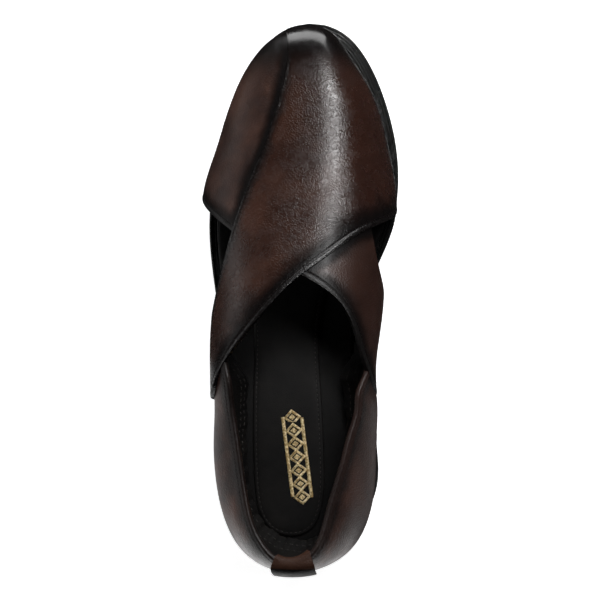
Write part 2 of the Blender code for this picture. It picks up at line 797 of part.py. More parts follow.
# Cut edges of the straps, as places on the forepart from the toe to the waist.
OVER_FRONT = [
    # v, y
    (-1.0, 242.6), (-0.62, 242.6), (-0.275, 240.6), (-0.18, 230.0), (-0.20, 205.0), (-0.235, 189.0),
    (-0.28, 170.0), (-0.33, 149.0), (-0.39, 130.0), (-0.49, 107.0), (-0.60, 90.0), (-1.0, 73.0),
]
OVER_REAR = [
    (1.0, 147.0), (0.86, 144.5), (0.53, 137.5), (0.295, 130.0), (0.12, 119.0), (0.0, 110.0),
    (-0.12, 95.0), (-0.26, 77.0), (-0.42, 60.5), (-0.57, 48.0), (-0.75, 43.5), (-1.0, 42.5),
]
UNDER_FRONT = [
    (1.0, 238.0), (0.60, 225.0), (0.42, 200.0), (0.36, 175.0), (0.38, 150.0), (0.43, 131.0),
    (0.51, 117.0), (0.68, 100.0), (1.0, 77.0),
]
UNDER_REAR = [
    (-1.0, 155.0), (-0.80, 153.0), (-0.625, 146.5), (-0.40, 134.0), (-0.20, 121.0), (0.0, 109.5),
    (0.205, 98.0), (0.41, 73.5), (0.66, 50.0), (0.84, 46.0), (1.0, 47.0),
]


def over_panel(long, wide):
    """The over strap: from the toe and the medial forefoot across to the lateral waist."""
    front = cut_edge(OVER_FRONT, long)
    rear = cut_edge(OVER_REAR, long)
    start = spread(np.concatenate([
        foot_run(LATERAL, OVER_FRONT[0][1], FEATHER_TIP, 60),
        foot_run(MEDIAL, FEATHER_TIP, OVER_REAR[0][1], 300)[1:],
    ]), wide)
    start[0], start[-1] = front[0], rear[0]
    end = spread(foot_run(LATERAL, OVER_FRONT[-1][1], OVER_REAR[-1][1], 60), wide)
    return roll_up(patch(front, rear, start, end))


def under_panel(long, wide):
    """The under strap: from the toe and the lateral forefoot across to the medial waist."""
    front = cut_edge(UNDER_FRONT, long)
    rear = cut_edge(UNDER_REAR, long)
    start = spread(np.concatenate([
        foot_run(MEDIAL, UNDER_FRONT[0][1], FEATHER_TIP, 60),
        foot_run(LATERAL, FEATHER_TIP, UNDER_REAR[0][1], 300)[1:],
    ]), wide)
    start[0], start[-1] = front[0], rear[0]
    end = spread(foot_run(MEDIAL, UNDER_FRONT[-1][1], UNDER_REAR[-1][1], 60), wide)
    return roll_up(patch(front, rear, start, end))


UNDER_RISE = (0.70, 0.84)    # where along the under strap it climbs on to the quarter
FOOT_STEP = 0.12             # each panel's foot stands this much higher than the one it laps
BOX_TOE = (241.2, 242.8, 244.0, 244.8)    # y of the sections of the box toe, the stiffener at the tip
RIB_TURN = math.radians(52)  # how far a heel rib's arc turns from its widest place to its top


def wing_row(side, y, cut):
    """A rib of the quarter on a section of the forepart: foot, widest place, crown and turn."""
    crown_x, top, wide, wide_z, foot, foot_z, peak, arch, wall = section_sizes(side, y)
    turn = (1 - cut * (arch + wall) / arch) * math.pi / 2
    return [foot, y, foot_z, wide, y, wide_z, crown_x, y, top, turn]


def heel_row(side, foot_y, wide_x, wide_y, wide_z, top_x, top_y, top_z):
    """A rib of the quarter round the heel, with its foot on the sole's edge."""
    at_back = foot_y == HEEL_END[1]
    y = FEATHER[side][0, 1] if at_back else foot_y
    x = HEEL_END[0] if at_back else float(foot_x(side, foot_y))
    inward, upward = 1 - math.cos(RIB_TURN), math.sin(RIB_TURN)
    crown = [
        wide_x + (top_x - wide_x) / inward,
        wide_y + (top_y - wide_y) / inward,
        wide_z + (top_z - wide_z) / upward,
    ]
    return [x, y, float(sole_top(y)) + GAP, wide_x, wide_y, wide_z, *crown, RIB_TURN]


def quarter_surface():
    """The quarter as a function of the way round, 0 to 1, and of the height, 0 at its foot."""
    lateral = [wing_row(LATERAL, y, cut) for y, cut, _ in WING_ROWS]
    medial = [wing_row(MEDIAL, y, cut) for y, _, cut in WING_ROWS]
    rows = np.array(lateral + [heel_row(*row) for row in HEEL_RIB_ROWS] + medial[::-1], float)
    run = np.concatenate([[0], np.cumsum(np.linalg.norm(np.diff(rows[:, 3:5], axis=0), axis=1))])
    ribs = cubic(run / run[-1], rows)
    knee = 0.40

    def at(u, w):
        row = ribs(u)
        foot, wide, crown, turn = row[..., 0:3], row[..., 3:6], row[..., 6:9], row[..., 9]
        down = np.clip(1 - w / knee, 0, 1)[..., None]
        lower = wide + (foot - wide) * np.concatenate([down**2, down**2, down], -1)
        angle = (np.clip((w - knee) / (1 - knee), 0, 1) * turn)[..., None]
        lean, rise = 1 - np.cos(angle), np.sin(angle)
        upper = wide + (crown - wide) * np.concatenate([lean, lean, rise], -1)
        return np.where((w < knee)[..., None], lower, upper)

    return at


def box_toe(count=17):
    """The stiffener between the two straps at the tip of the toe, which leaves no pocket there."""
    v = np.linspace(-1, 1, count)
    rings = [vamp(v, y) for y in BOX_TOE]
    for ring_points in rings:
        ring_points[[0, -1], 2] += 0.5 * FOOT_STEP
    return banded("box_toe", rings)


def make_upper(material, long=28, wide=18):
    """The upper: quarter, under strap and over strap, lapped and fused into one shell.

    The laps are thin shells that nearly touch, which the MANIFOLD solver joins and EXACT doesn't.
    """
    around, tall = np.meshgrid(np.linspace(0, 1, 41), np.linspace(0, 1, 9), indexing="ij")
    quarter = quarter_surface()(around, tall).transpose(1, 0, 2)
    upper = piece("upper", *plate(quarter, -LEATHER, 0.0, feet=("start",)), material)
    lift = LEATHER - OVERLAP
    share = np.linspace(0, 1, long)[:, None]
    rise = eased((share - UNDER_RISE[0]) / (UNDER_RISE[1] - UNDER_RISE[0])) * lift
    under = plate(under_panel(long, wide), rise - LEATHER, rise, ("start", "end"), GAP + FOOT_STEP)
    join_with(upper, piece("under_strap", *under), "MANIFOLD")
    over = plate(over_panel(long, wide + 2), lift - LEATHER, lift, ("start", "end"), GAP + 2 * FOOT_STEP)
    join_with(upper, piece("over_strap", *over), "MANIFOLD")
    join_with(upper, box_toe(), "MANIFOLD")
    return settle(upper)


# The heel tab and the buckle ---------------------------------------------------------------------

TAB_MIDDLE = 0.515           # how far round the quarter the tab's middle is, behind the heel
TAB_HALF = 10.2              # half its width
TAB_THICK = 1.6
# The tab folded over the collar: distance above the collar's edge and out from the quarter's face.
TAB_FOLD = [
    (-8.0, -3.4), (-4.0, -3.4), (-0.2, -3.4), (1.1, -2.6), (1.6, -1.0), (1.1, 0.7), (-0.2, 1.4),
    (-4.0, 1.6), (-9.0, 1.6), (-14.0, 1.4),
]
TAB_STIFFNESS = 0.5          # how much its outer flap stays flat across the round heel

BUCKLE_Z = 34.0              # height of the buckle's middle on the lateral wall
BUCKLE_BARS = (53.4, 62.0)   # y of its rear and its front bar
BUCKLE_HALF = 6.2            # from its middle up or down to its side bars
BUCKLE_CORNER = 2.4          # radius of its corners
WIRE = 0.65                  # radius of the buckle's wire
BAR_OUT = (0.95, 2.25)       # how far out its rear and front bars are from the strap they lie on
# The fastened strap end, forward to back: y and distance out from the over strap.
STRAP_RUN = [
    (76.0, 0.85), (68.0, 0.85), (61.5, 0.85), (58.2, 1.4), (55.8, 2.15), (53.4, 2.4), (51.2, 2.1),
    (49.2, 1.3), (46.2, 0.9),
]
STRAP_THICK = 0.9
STRAP_HALF = 4.7             # half its width
# The prong, from where it comes through the strap to past the front bar.
PRONG_RUN = [(56.6, 3.15), (58.4, 3.0), (60.2, 3.35), (61.6, 3.7), (63.0, 3.65), (64.2, 3.1)]
PRONG = 0.55                 # radius of the prong


def make_heel_tab(material, count=9):
    """The tab: a strip of leather folded over the back of the collar."""
    surface = quarter_surface()
    samples = 60
    heights = np.linspace(0.4, 1, samples)
    reach = 0.05
    left = surface(np.full(samples, TAB_MIDDLE - reach), heights)
    right = surface(np.full(samples, TAB_MIDDLE + reach), heights)
    share_per_mm = 2 * reach / np.linalg.norm(right - left, axis=1)
    fold = np.array(TAB_FOLD)
    loop = np.concatenate([offset_line(fold, TAB_THICK / 2), offset_line(fold, -TAB_THICK / 2)[::-1]])
    outlines = []
    for across in np.linspace(-TAB_HALF, TAB_HALF, count):
        around = TAB_MIDDLE + across * share_per_mm
        wall = surface(around, heights)
        beside = surface(around + 1e-3, heights)
        up = np.gradient(wall, axis=0)
        up /= np.linalg.norm(up, axis=1, keepdims=True)
        out = np.cross(up, beside - wall)
        out /= np.linalg.norm(out, axis=1, keepdims=True)
        out *= np.sign(out[0] @ (wall[0] - (0, 0, wall[0, 2])))
        below = np.concatenate([[0], np.cumsum(np.linalg.norm(np.diff(wall, axis=0), axis=1))])
        below -= below[-1]
        columns = (*wall.T, *up.T, *out.T)
        at = np.array([[np.interp(min(rise, 0), below, column) for column in columns] for rise, _ in loop])
        outlines.append(at[:, :3] + at[:, 3:6] * np.maximum(loop[:, :1], 0) + at[:, 6:] * loop[:, 1:])
    back = outlines[count // 2][:, 1]
    flap = np.clip(loop[:, 1], 0, 1)
    for outline in outlines:
        outline[:, 1] += TAB_STIFFNESS * flap * (back - outline[:, 1])
    return banded("heel_tab", outlines, material)


def side_wall(y, z, out):
    """A point outside the over strap's lateral end, at a height and a distance out from its face."""
    share = np.linspace(0.5, 1, 50)
    line = section_point(LATERAL, share, np.full(50, float(y)))[::-1]
    x = np.interp(z, line[:, 2], line[:, 0])
    return np.array([x - (LEATHER - OVERLAP) - out, y, z])


def make_buckle_strap(material):
    """The strap end, which comes from under the front bar and lies over the rear bar."""
    run = through(STRAP_RUN, 17)
    loop = np.concatenate([offset_line(run, STRAP_THICK / 2), offset_line(run, -STRAP_THICK / 2)[::-1]])
    outlines = []
    for z in (BUCKLE_Z - STRAP_HALF, BUCKLE_Z, BUCKLE_Z + STRAP_HALF):
        outlines.append(np.array([side_wall(y, z, out) for y, out in loop]))
    return banded("buckle_strap", outlines, material)


def wire(name, path, radius, material, closed=False, around=8):
    """A round wire along a path of points."""
    path = np.array(path)
    if closed:
        along = np.roll(path, -1, axis=0) - np.roll(path, 1, axis=0)
    else:
        along = np.gradient(path, axis=0)
    along /= np.linalg.norm(along, axis=1, keepdims=True)
    side = np.cross(along, (-1.0, 0.0, 0.0))
    side /= np.linalg.norm(side, axis=1, keepdims=True)
    out = np.cross(side, along)
    turn = np.linspace(0, 2 * math.pi, around, endpoint=False)[None, :, None]
    rings = path[:, None] + radius * (np.cos(turn) * side[:, None] + np.sin(turn) * out[:, None])
    return banded(name, list(rings), material, closed)


def make_buckle_frame(material):
    """The buckle's frame: a rounded rectangle of wire that leans out towards its front bar."""
    rear, front = BUCKLE_BARS
    corner = BUCKLE_CORNER
    back, ahead, side = rear + corner, front - corner, BUCKLE_HALF - corner
    path = []
    for y, z, start in ((ahead, side, 0), (back, side, 90), (back, -side, 180), (ahead, -side, 270)):
        for turn in np.radians(start + np.linspace(0, 90, 4)):
            path.append((y + corner * math.cos(turn), z + corner * math.sin(turn)))
    points = []
    for y, z in path:
        share = (y - rear) / (front - rear)
        out = BAR_OUT[0] + (BAR_OUT[1] - BAR_OUT[0]) * share
        points.append(side_wall(y, BUCKLE_Z + z, out))
    return wire("buckle_frame", points, WIRE, material, closed=True)


def make_buckle_prong(material):
    """The prong, from where it comes through the strap to its tip over the front bar."""
    points = [side_wall(y, BUCKLE_Z, out) for y, out in PRONG_RUN]
    return wire("buckle_prong", points, PRONG, material)


def main():
    for old in list(bpy.data.objects):
        bpy.data.objects.remove(old)
    rubber = finish_of("black rubber", (0.012, 0.012, 0.012), 0.6)
    sock = finish_of("black sock leather", (0.01, 0.01, 0.01), 0.55)
    leather = finish_of("brown leather", (0.055, 0.024, 0.017), 0.4)
    make_outsole(rubber)
    make_heel(rubber)
    make_welt(rubber)
    make_insole(sock)
    make_upper(leather)
    make_heel_tab(finish_of("brown tab leather", (0.05, 0.022, 0.016), 0.42))
    make_buckle_strap(finish_of("brown strap leather", (0.05, 0.022, 0.016), 0.42))
    steel = finish_of("nickel plated steel", (0.75, 0.75, 0.76), 0.18, metallic=1.0)
    make_buckle_frame(steel)
    make_buckle_prong(steel)


main()
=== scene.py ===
# %% [markdown]
# # A roman sandal, from bare solids to burnished leather
# This notebook dresses a closed-toe sandal for the left foot. The solids of the shoe come as a fixed
# frame, and each cell adds or refines one thing that a shoemaker would name. The frame says where
# everything is; the cells below say what it is made of and how the surface got its look.

# %% The frame
import math

import bmesh
import bpy
import numpy as np
from mathutils import Matrix, Vector


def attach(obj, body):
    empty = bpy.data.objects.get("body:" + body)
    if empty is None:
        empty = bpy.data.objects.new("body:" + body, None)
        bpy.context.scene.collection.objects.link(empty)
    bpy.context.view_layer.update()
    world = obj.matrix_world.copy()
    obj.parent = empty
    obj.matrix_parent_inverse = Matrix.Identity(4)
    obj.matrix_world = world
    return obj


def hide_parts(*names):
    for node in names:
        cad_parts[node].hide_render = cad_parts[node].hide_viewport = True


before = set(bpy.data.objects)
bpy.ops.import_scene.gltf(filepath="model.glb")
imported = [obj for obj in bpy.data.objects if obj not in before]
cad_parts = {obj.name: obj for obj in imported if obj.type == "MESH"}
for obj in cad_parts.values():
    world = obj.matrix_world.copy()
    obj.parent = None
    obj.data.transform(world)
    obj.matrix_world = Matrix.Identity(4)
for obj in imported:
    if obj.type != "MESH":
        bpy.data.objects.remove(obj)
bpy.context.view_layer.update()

ROOT = "root"
print("frame:", sorted(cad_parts))

# %% [markdown]
# ## Helpers
# The tables of this shoe are in millimetres, as a last maker writes them, and one function turns them
# to metres when a mesh is made. Colours are written as on a paint card, in sRGB hex, and one function
# turns them linear. Nodes could be added one by one in the editor, but then nobody could read how a
# finish was made, so one function adds a node to any tree, with its settings and its links.

# %% Small helpers
MM = 0.001
LATERAL, MEDIAL = -1, 1      # outer and inner side of the foot


def linear(code):
    """The linear RGBA of an sRGB hex colour."""
    parts = [int(code[i : i + 2], 16) / 255 for i in (1, 3, 5)]
    return (*[p / 12.92 if p <= 0.04045 else ((p + 0.055) / 1.055) ** 2.4 for p in parts], 1.0)


def feed(node, inputs):
    """Gives inputs of a node their values, or links them when they are given another node's socket."""
    for name, value in inputs.items():
        socket = node.inputs[name]
        if isinstance(value, bpy.types.NodeSocket):
            node.id_data.links.new(value, socket)
        else:
            socket.default_value = value


def add(tree, kind, inputs=None, **settings):
    """Adds one node with its settings and its inputs."""
    node = tree.nodes.new(kind)
    for name, value in settings.items():
        setattr(node, name, value)
    feed(node, inputs or {})
    return node


def placed(name, data):
    """A new object in the scene."""
    made = bpy.data.objects.new(name, data)
    bpy.context.scene.collection.objects.link(made)
    return made


def piece(name, points, faces, materials=(), smooth=40):
    """A mesh object from points in millimetres, with its faces turned outwards."""
    mesh = bpy.data.meshes.new(name)
    mesh.from_pydata((np.asarray(points) * MM).tolist(), [], [list(map(int, face)) for face in faces])
    work = bmesh.new()
    work.from_mesh(mesh)
    bmesh.ops.recalc_face_normals(work, faces=work.faces)
    work.to_mesh(mesh)
    work.free()
    mesh.shade_smooth()
    mesh.set_sharp_from_angle(angle=math.radians(smooth))
    for material in materials:
        mesh.materials.append(material)
    return placed(name, mesh)


def finished(obj, smooth=None):
    """The object with its modifiers worked into a plain mesh."""
    graph = bpy.context.evaluated_depsgraph_get()
    result = bpy.data.meshes.new_from_object(obj.evaluated_get(graph))
    obj.modifiers.clear()
    obj.data = result
    result.name = obj.name
    if smooth is not None:
        result.shade_smooth()
        result.set_sharp_from_angle(angle=math.radians(smooth))
    return obj


def onto_shoe(obj, slot, *nodes):
    """The piece stands for CAD nodes and rides on the shoe; its slot is not used."""
    if nodes:
        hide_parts(*nodes)
    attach(obj, ROOT)
    print(obj.name, len(obj.data.polygons), "faces")
    return obj


print("white is", linear("#ffffff"), "and mid grey is", [round(c, 3) for c in linear("#808080")[:3]])

# %% [markdown]
# ## Smooth curves through short tables
# A shoe is designed with French curves laid through a few measured points. Curve objects could do the
# same, but a natural cubic spline in numbers can also be asked for its place, length and direction, so
# every line of this shoe is a spline through a short table.

# %% Splines


def cubic(knots, values):
    """A smooth function through rows of values: a natural cubic spline."""
    knots, values = np.asarray(knots, float), np.asarray(values, float)
    step, last = np.diff(knots), len(knots) - 1
    system, bend = np.eye(last + 1), np.zeros_like(values)
    for i in range(1, last):
        system[i, i - 1 : i + 2] = step[i - 1], 2 * (step[i - 1] + step[i]), step[i]
        bend[i] = 6 * ((values[i + 1] - values[i]) / step[i] - (values[i] - values[i - 1]) / step[i - 1])
    bend = np.linalg.solve(system, bend)

    def at(place):
        place = np.clip(np.asarray(place, float), knots[0], knots[-1])
        i = np.clip(np.searchsorted(knots, place) - 1, 0, last - 1)
        shape = place.shape + (1,) * (values.ndim - 1)
        h, a, b = (part.reshape(shape) for part in (step[i], knots[i + 1] - place, place - knots[i]))
        return (
            (bend[i] * a**3 + bend[i + 1] * b**3) / (6 * h)
            + (values[i] / h - bend[i] * h / 6) * a
            + (values[i + 1] / h - bend[i + 1] * h / 6) * b
        )

    return at


def by_first(rows):
    """A smooth function of a table's first column that gives its other columns."""
    rows = np.array(rows, float)
    order = np.argsort(rows[:, 0])
    return cubic(rows[order, 0], rows[order, 1:])


def run_of(points):
    """Length along a line of points, from its start to each point."""
    return np.concatenate([[0], np.cumsum(np.linalg.norm(np.diff(points, axis=0), axis=1))])


def through(points, count):
    """Evenly spread points on the smooth curve through the given ones."""
    points = np.array(points, float)
    run = run_of(points)
    return cubic(run, points)(np.linspace(0, run[-1], count))


def spread(points, shares):
    """The points at some shares of a line's length."""
    run = run_of(points)
    return np.stack([np.interp(run[-1] * shares, run, column) for column in points.T], -1)


def eased(share):
    """A smooth step from 0 to 1."""
    share = np.clip(share, 0, 1)
    return share**2 * (3 - 2 * share)


def unit(vectors):
    """The same directions, each of length one."""
    return vectors / np.maximum(np.linalg.norm(vectors, axis=-1, keepdims=True), 1e-9)


def to_left(along):
    """Unit directions to the left of some directions in plan."""
    along = unit(along)
    return np.stack([-along[..., 1], along[..., 0]], -1)


def x_at(line, y):
    """x of a line of plan points that runs towards the toe."""
    return np.interp(y, np.maximum.accumulate(line[:, 1]), line[:, 0])


print("an arc through 3 points is %.3f long" % run_of(through([(0, 0), (1, 1), (2, 0)], 50))[-1])

# %% [markdown]
# ## The last, as tables
# A shoe is built round a last, the wooden or plastic foot. A last could be sculpted, but it is drawn as
# a plan, a side view and sections, so it is kept here in the same way: the plan of the sole, its side
# view with the arch and the toe spring, and the sections of the forepart. The frame comes from nearly
# the same values, so what is modelled here at a finer grain sits where it does.

# %% Tables of the last
GAP = 0.3                    # clearance between neighbouring pieces
LEATHER = 2.0                # upper leather with its lining
HEEL_END, TOE_END = (0.0, -40.2), (2.7, 248.5)
EDGE_ROWS = [
    # y, lateral x, medial x of the sole's edge
    (-34.0, -21.8, 20.0), (-22.0, -32.6, 32.0), (-6.0, -38.1, 38.1), (16.0, -41.7, 37.8),
    (44.0, -44.7, 34.0), (66.0, -47.0, 29.2), (88.0, -50.2, 29.8), (112.0, -54.3, 36.4),
    (138.0, -56.6, 46.1), (160.0, -55.0, 49.5), (184.0, -50.3, 48.0), (208.0, -41.7, 42.0),
    (228.0, -30.7, 33.4), (242.0, -17.8, 21.8),
]
PROFILE_ROWS = [
    # y, tread, underside, top of the sole
    (-40.0, 0.0, 18.2, 27.2), (0.0, 0.0, 17.9, 26.6), (38.0, 0.0, 17.2, 25.2), (60.0, 6.0, 13.0, 22.0),
    (82.0, 5.2, 7.7, 18.0), (102.0, 1.7, 4.2, 14.9), (122.0, 0.2, 2.7, 13.0), (138.0, 0.0, 2.5, 12.5),
    (176.0, 0.0, 2.5, 12.5), (196.0, 0.8, 3.3, 13.6), (216.0, 3.0, 5.5, 16.0), (236.0, 6.9, 9.4, 19.8),
    (249.0, 10.0, 12.5, 22.8),
]
FEATHER_ROWS = [
    # y, lateral, medial distance from the sole's edge in to the foot of the upper
    (-41.0, 1.6, 1.6), (20.0, 1.6, 1.6), (70.0, 1.8, 1.2), (110.0, 2.6, 1.4), (148.0, 3.0, 1.2),
    (170.0, 3.2, 4.4), (186.0, 3.3, 5.8), (204.0, 3.4, 6.0), (226.0, 3.5, 8.2), (240.0, 3.3, 7.2),
    (246.0, 3.2, 4.4), (248.6, 3.2, 3.2),
]
SECTION_ROWS = [
    # y, crown_x, lateral_bulge, lateral_height, medial_bulge, medial_height, peak
    (36.0, 1.0, 1.2, 0.40, 7.6, 0.42, 1.00), (58.0, 2.0, 0.6, 0.42, 11.4, 0.44, 1.00),
    (80.0, 3.5, -1.2, 0.44, 15.2, 0.46, 1.00), (102.0, 6.0, -4.4, 0.44, 13.2, 0.46, 1.00),
    (124.0, 9.0, -2.2, 0.38, 6.5, 0.42, 1.00), (144.0, 11.0, 3.2, 0.32, 2.6, 0.32, 1.00),
    (160.0, 12.0, 3.8, 0.30, 1.0, 0.26, 0.98), (184.0, 12.0, 1.2, 0.30, 0.4, 0.24, 0.94),
    (212.0, 10.0, 1.8, 0.34, 0.4, 0.28, 0.90), (234.0, 6.5, 1.4, 0.42, 0.4, 0.38, 0.88),
    (246.0, 3.2, 0.0, 0.50, 0.0, 0.50, 0.88),
]
CROWN_POINTS = [
    # y, z of the forepart's top line, from the toe to above the instep
    (245.6, 22.0), (245.9, 27.0), (243.6, 34.0), (238.0, 39.6), (228.0, 43.8), (206.0, 49.0), (182.0, 54.4),
    (156.0, 61.2), (132.0, 68.2), (108.0, 75.6), (84.0, 82.8), (60.0, 89.6), (30.0, 97.0),
]
WING_ROWS = [
    # y, lateral_cut, medial_cut: how high the quarter's wings reach up the sections
    (92.0, 0.44, 0.60), (84.0, 0.43, 0.59), (76.0, 0.42, 0.575), (68.0, 0.40, 0.555), (60.0, 0.37, 0.53),
]
HEEL_RIB_ROWS = [
    # side, foot_y, then x, y, z of the widest place and of the top edge
    (LATERAL, 44.0, -44.8, 44.0, 46.0, -30.4, 44.0, 76.2),
    (LATERAL, 22.0, -45.4, 22.0, 46.0, -26.8, 22.0, 76.6),
    (LATERAL, 2.0, -44.0, 1.0, 47.0, -23.2, 1.0, 78.5),
    (LATERAL, -16.0, -39.4, -18.0, 48.0, -18.6, -17.0, 81.5),
    (LATERAL, -30.0, -29.4, -35.0, 49.0, -11.0, -29.5, 84.5),
    (MEDIAL, HEEL_END[1], 1.4, -46.2, 51.0, 2.2, -36.6, 87.0),
    (MEDIAL, -30.0, 29.2, -34.0, 49.0, 15.2, -29.0, 84.5),
    (MEDIAL, -16.0, 38.0, -17.0, 48.0, 19.8, -16.0, 81.5),
    (MEDIAL, 2.0, 41.0, 2.0, 47.0, 24.6, 2.0, 78.5),
    (MEDIAL, 22.0, 41.6, 22.0, 46.5, 30.0, 22.0, 75.2),
    (MEDIAL, 44.0, 42.0, 44.0, 46.5, 35.0, 44.0, 70.6),
]
profile, feather_inset, section = by_first(PROFILE_ROWS), by_first(FEATHER_ROWS), by_first(SECTION_ROWS)


def tread(y):
    """Height of the tread; the spline may not dip below the ground."""
    return np.maximum(profile(y)[..., 0], 0.0)


def underside(y):
    return profile(y)[..., 1]


def sole_top(y):
    return profile(y)[..., 2]


print("sole %.1f mm long, %.1f mm thick at the ball" % (TOE_END[1] - HEEL_END[1], sole_top(138.0)))

# %% Plan of the sole and of the upper's foot


def sole_edges():
    """The lateral and the medial edge of the sole, each from the heel end to the toe end."""
    rows = np.array(EDGE_ROWS)
    lateral, medial = ([HEEL_END, *rows[:, [k, 0]], TOE_END] for k in (1, 2))
    loop = lateral + medial[-2:0:-1]
    points = np.array(loop[-3:] + loop + loop[:4])
    run = run_of(points)
    curve = cubic(run, points)
    heel, toe, back = run[3], run[2 + len(lateral)], run[3 + len(loop)]
    return curve(np.linspace(heel, toe, 400)), curve(np.linspace(back, toe, 400))


EDGES = dict(zip((LATERAL, MEDIAL), sole_edges()))


def inset_edge(side, inset):
    """One edge of the sole moved in by a distance, a function of y, or one of these for each side."""
    inset = inset[side] if isinstance(inset, dict) else inset
    edge = EDGES[side]
    outward = to_left(np.gradient(edge, axis=0)) * -side
    outward[0], outward[-1] = (0, -1), (0, 1)
    distance = inset(edge[:, 1]) if callable(inset) else inset
    return edge - outward * np.reshape(distance, (-1, 1))


def feather_distance(side):
    """From the sole's edge in to the feather line, where the upper meets the welt."""
    column = 0 if side == LATERAL else 1
    return lambda y: feather_inset(y)[..., column]


FEATHER = {side: inset_edge(side, feather_distance(side)) for side in (LATERAL, MEDIAL)}
FEATHER_TIP = FEATHER[MEDIAL][-1, 1]


def foot_x(side, y):
    """x of the upper's foot on one side."""
    return x_at(FEATHER[side], y)


def ring(inset, count):
    """A closed ring of plan points: up the lateral side from the heel end, and back down the medial."""
    turn, even = np.linspace(0, math.pi, count), np.linspace(0, 1, count)
    share = 0.55 * (1 - np.cos(turn)) / 2 + 0.45 * even
    sides = []
    for side in (LATERAL, MEDIAL):
        curve = inset_edge(side, inset)
        y = curve[0, 1] + (curve[-1, 1] - curve[0, 1]) * share
        sides.append(np.stack([x_at(curve, y), y], -1))
    return np.concatenate([sides[0], sides[1][-2:0:-1]])


print("ball %.1f mm wide" % np.ptp(ring(0.0, 200)[:, 0]))


# %% [markdown]
# ## The surface of the forepart
# Leather is flat before it is pulled over the last. A place on the forepart is given here by its
# section y and by v, from -1 at the lateral foot over the crown at 0 to 1 at the medial foot. Unrolling
# v by the length of leather in that section gives the flat leather, where a strap's edge is a plain
# curve, just as a pattern cutter draws it.

# %% Sections of the forepart
CROWN_LINE = through(CROWN_POINTS, 400)[::-1]


def crown_z(y):
    """Height of the forepart's top line."""
    return np.interp(y, np.maximum.accumulate(CROWN_LINE[:, 0]), CROWN_LINE[:, 1])


def section_sizes(side, y):
    """Sizes of one side of a section: its crown, widest place, foot and lengths of leather."""
    row = section(y)
    crown_x, peak = row[..., 0], row[..., 5]
    bulge, share = (row[..., 1], row[..., 2]) if side == LATERAL else (row[..., 3], row[..., 4])
    top, foot_z, foot = crown_z(y), sole_top(y) + GAP, foot_x(side, y)
    wide_z = foot_z + share * np.maximum(top - foot_z, 0.0)
    wide = foot + side * bulge
    arch = math.pi / 2 * np.sqrt(((wide - crown_x) ** 2 + (top - wide_z) ** 2) / 2)
    return crown_x, top, wide, wide_z, foot, foot_z, peak, arch, np.hypot(bulge, wide_z - foot_z)


def section_point(side, q, y):
    """A point of the section at y, from q = 0 at the crown to q = 1 at the foot of one side."""
    crown_x, top, wide, wide_z, foot, foot_z, peak, arch, wall = section_sizes(side, y)
    shoulder = arch / np.maximum(arch + wall, 1e-6)
    turn = np.clip(q / np.maximum(shoulder, 1e-6), 0, 1) * math.pi / 2
    over_x = crown_x + (wide - crown_x) * np.sin(turn) ** peak
    over_z = wide_z + (top - wide_z) * np.cos(turn) ** peak
    down = np.clip((q - shoulder) / np.maximum(1 - shoulder, 1e-6), 0, 1)
    above = q < shoulder
    x = np.where(above, over_x, wide + (foot - wide) * down**2)
    z = np.where(above, over_z, wide_z + (foot_z - wide_z) * down)
    return np.stack([x, y + 0 * q, z], -1)


def vamp(v, y):
    """A point of the forepart."""
    v, y = np.broadcast_arrays(np.asarray(v, float), np.asarray(y, float))
    both = (section_point(side, np.abs(v), y) for side in (LATERAL, MEDIAL))
    return np.where((v < 0)[..., None], *both)


def girth(side, y):
    """Length of leather from the crown down to the foot of one side."""
    return sum(section_sizes(side, y)[-2:])


def unroll(v, y):
    """A point of the forepart as a place on the flat leather."""
    v, y = np.asarray(v, float), np.asarray(y, float)
    return np.stack([section(y)[..., 0] + v * np.where(v < 0, girth(LATERAL, y), girth(MEDIAL, y)), y], -1)


def roll_up(flat):
    """A place on the flat leather as a point of the forepart."""
    x, y = flat[..., 0], np.minimum(flat[..., 1], FEATHER_TIP)
    beside = x - section(y)[..., 0]
    reach = np.where(beside < 0, girth(LATERAL, y), girth(MEDIAL, y))
    return vamp(np.clip(beside / np.maximum(reach, 1e-3), -1, 1), y)


def foot_run(side, start, end, count):
    """A panel's foot on the flat leather, along one side of the shoe."""
    return unroll(np.full(count, float(side)), np.linspace(start, end, count))


def patch(front, rear, start, end):
    """A four-sided panel filled in between its edges: front and rear run from start to end."""
    a, b = run_of(rear), run_of(start)
    a, b = (a / a[-1])[:, None, None], (b / b[-1])[None, :, None]
    ruled = (1 - b) * front[:, None] + b * rear[:, None]
    ended = (1 - a) * start[None] + a * end[None]
    corners = (1 - a) * ((1 - b) * front[0] + b * rear[0]) + a * ((1 - b) * front[-1] + b * rear[-1])
    return ruled + ended - corners


print("leather over the ball: %.0f mm" % (girth(LATERAL, 150.0) + girth(MEDIAL, 150.0)))

# %% [markdown]
# ## From a pattern to a leather shell
# Each strap is cut to a pattern with four sides: two cut edges and two lasted ends that go under the
# shoe. A Coons patch fills in the pattern, and rolling it up puts it on the last. The leather then gets
# its thickness along its own normals, black lining on the inner face, and rolled edges from a bevel.
# Each point also keeps how far it is from each border, because the finisher's airbrush follows them.

# %% Leather shells
CORE_HEIGHT = 30.0           # the middle of the foot, which every panel faces away from
TOE_CROWD = 1.7              # panel rows crowd towards the toe, where the leather turns down
OUTER, LINING = 0, 1         # material slots of a shell


def grid_normals(grid):
    """Unit normals of a grid of points, facing away from the foot."""
    normal = np.cross(np.gradient(grid, axis=0), np.gradient(grid, axis=1))
    normal[0], normal[-1] = normal[1], normal[-2]
    normal = unit(normal)
    core = np.stack([0 * grid[..., 0], grid[..., 1], 0 * grid[..., 2] + CORE_HEIGHT], -1)
    return normal * np.sign((normal * (grid - core)).sum())


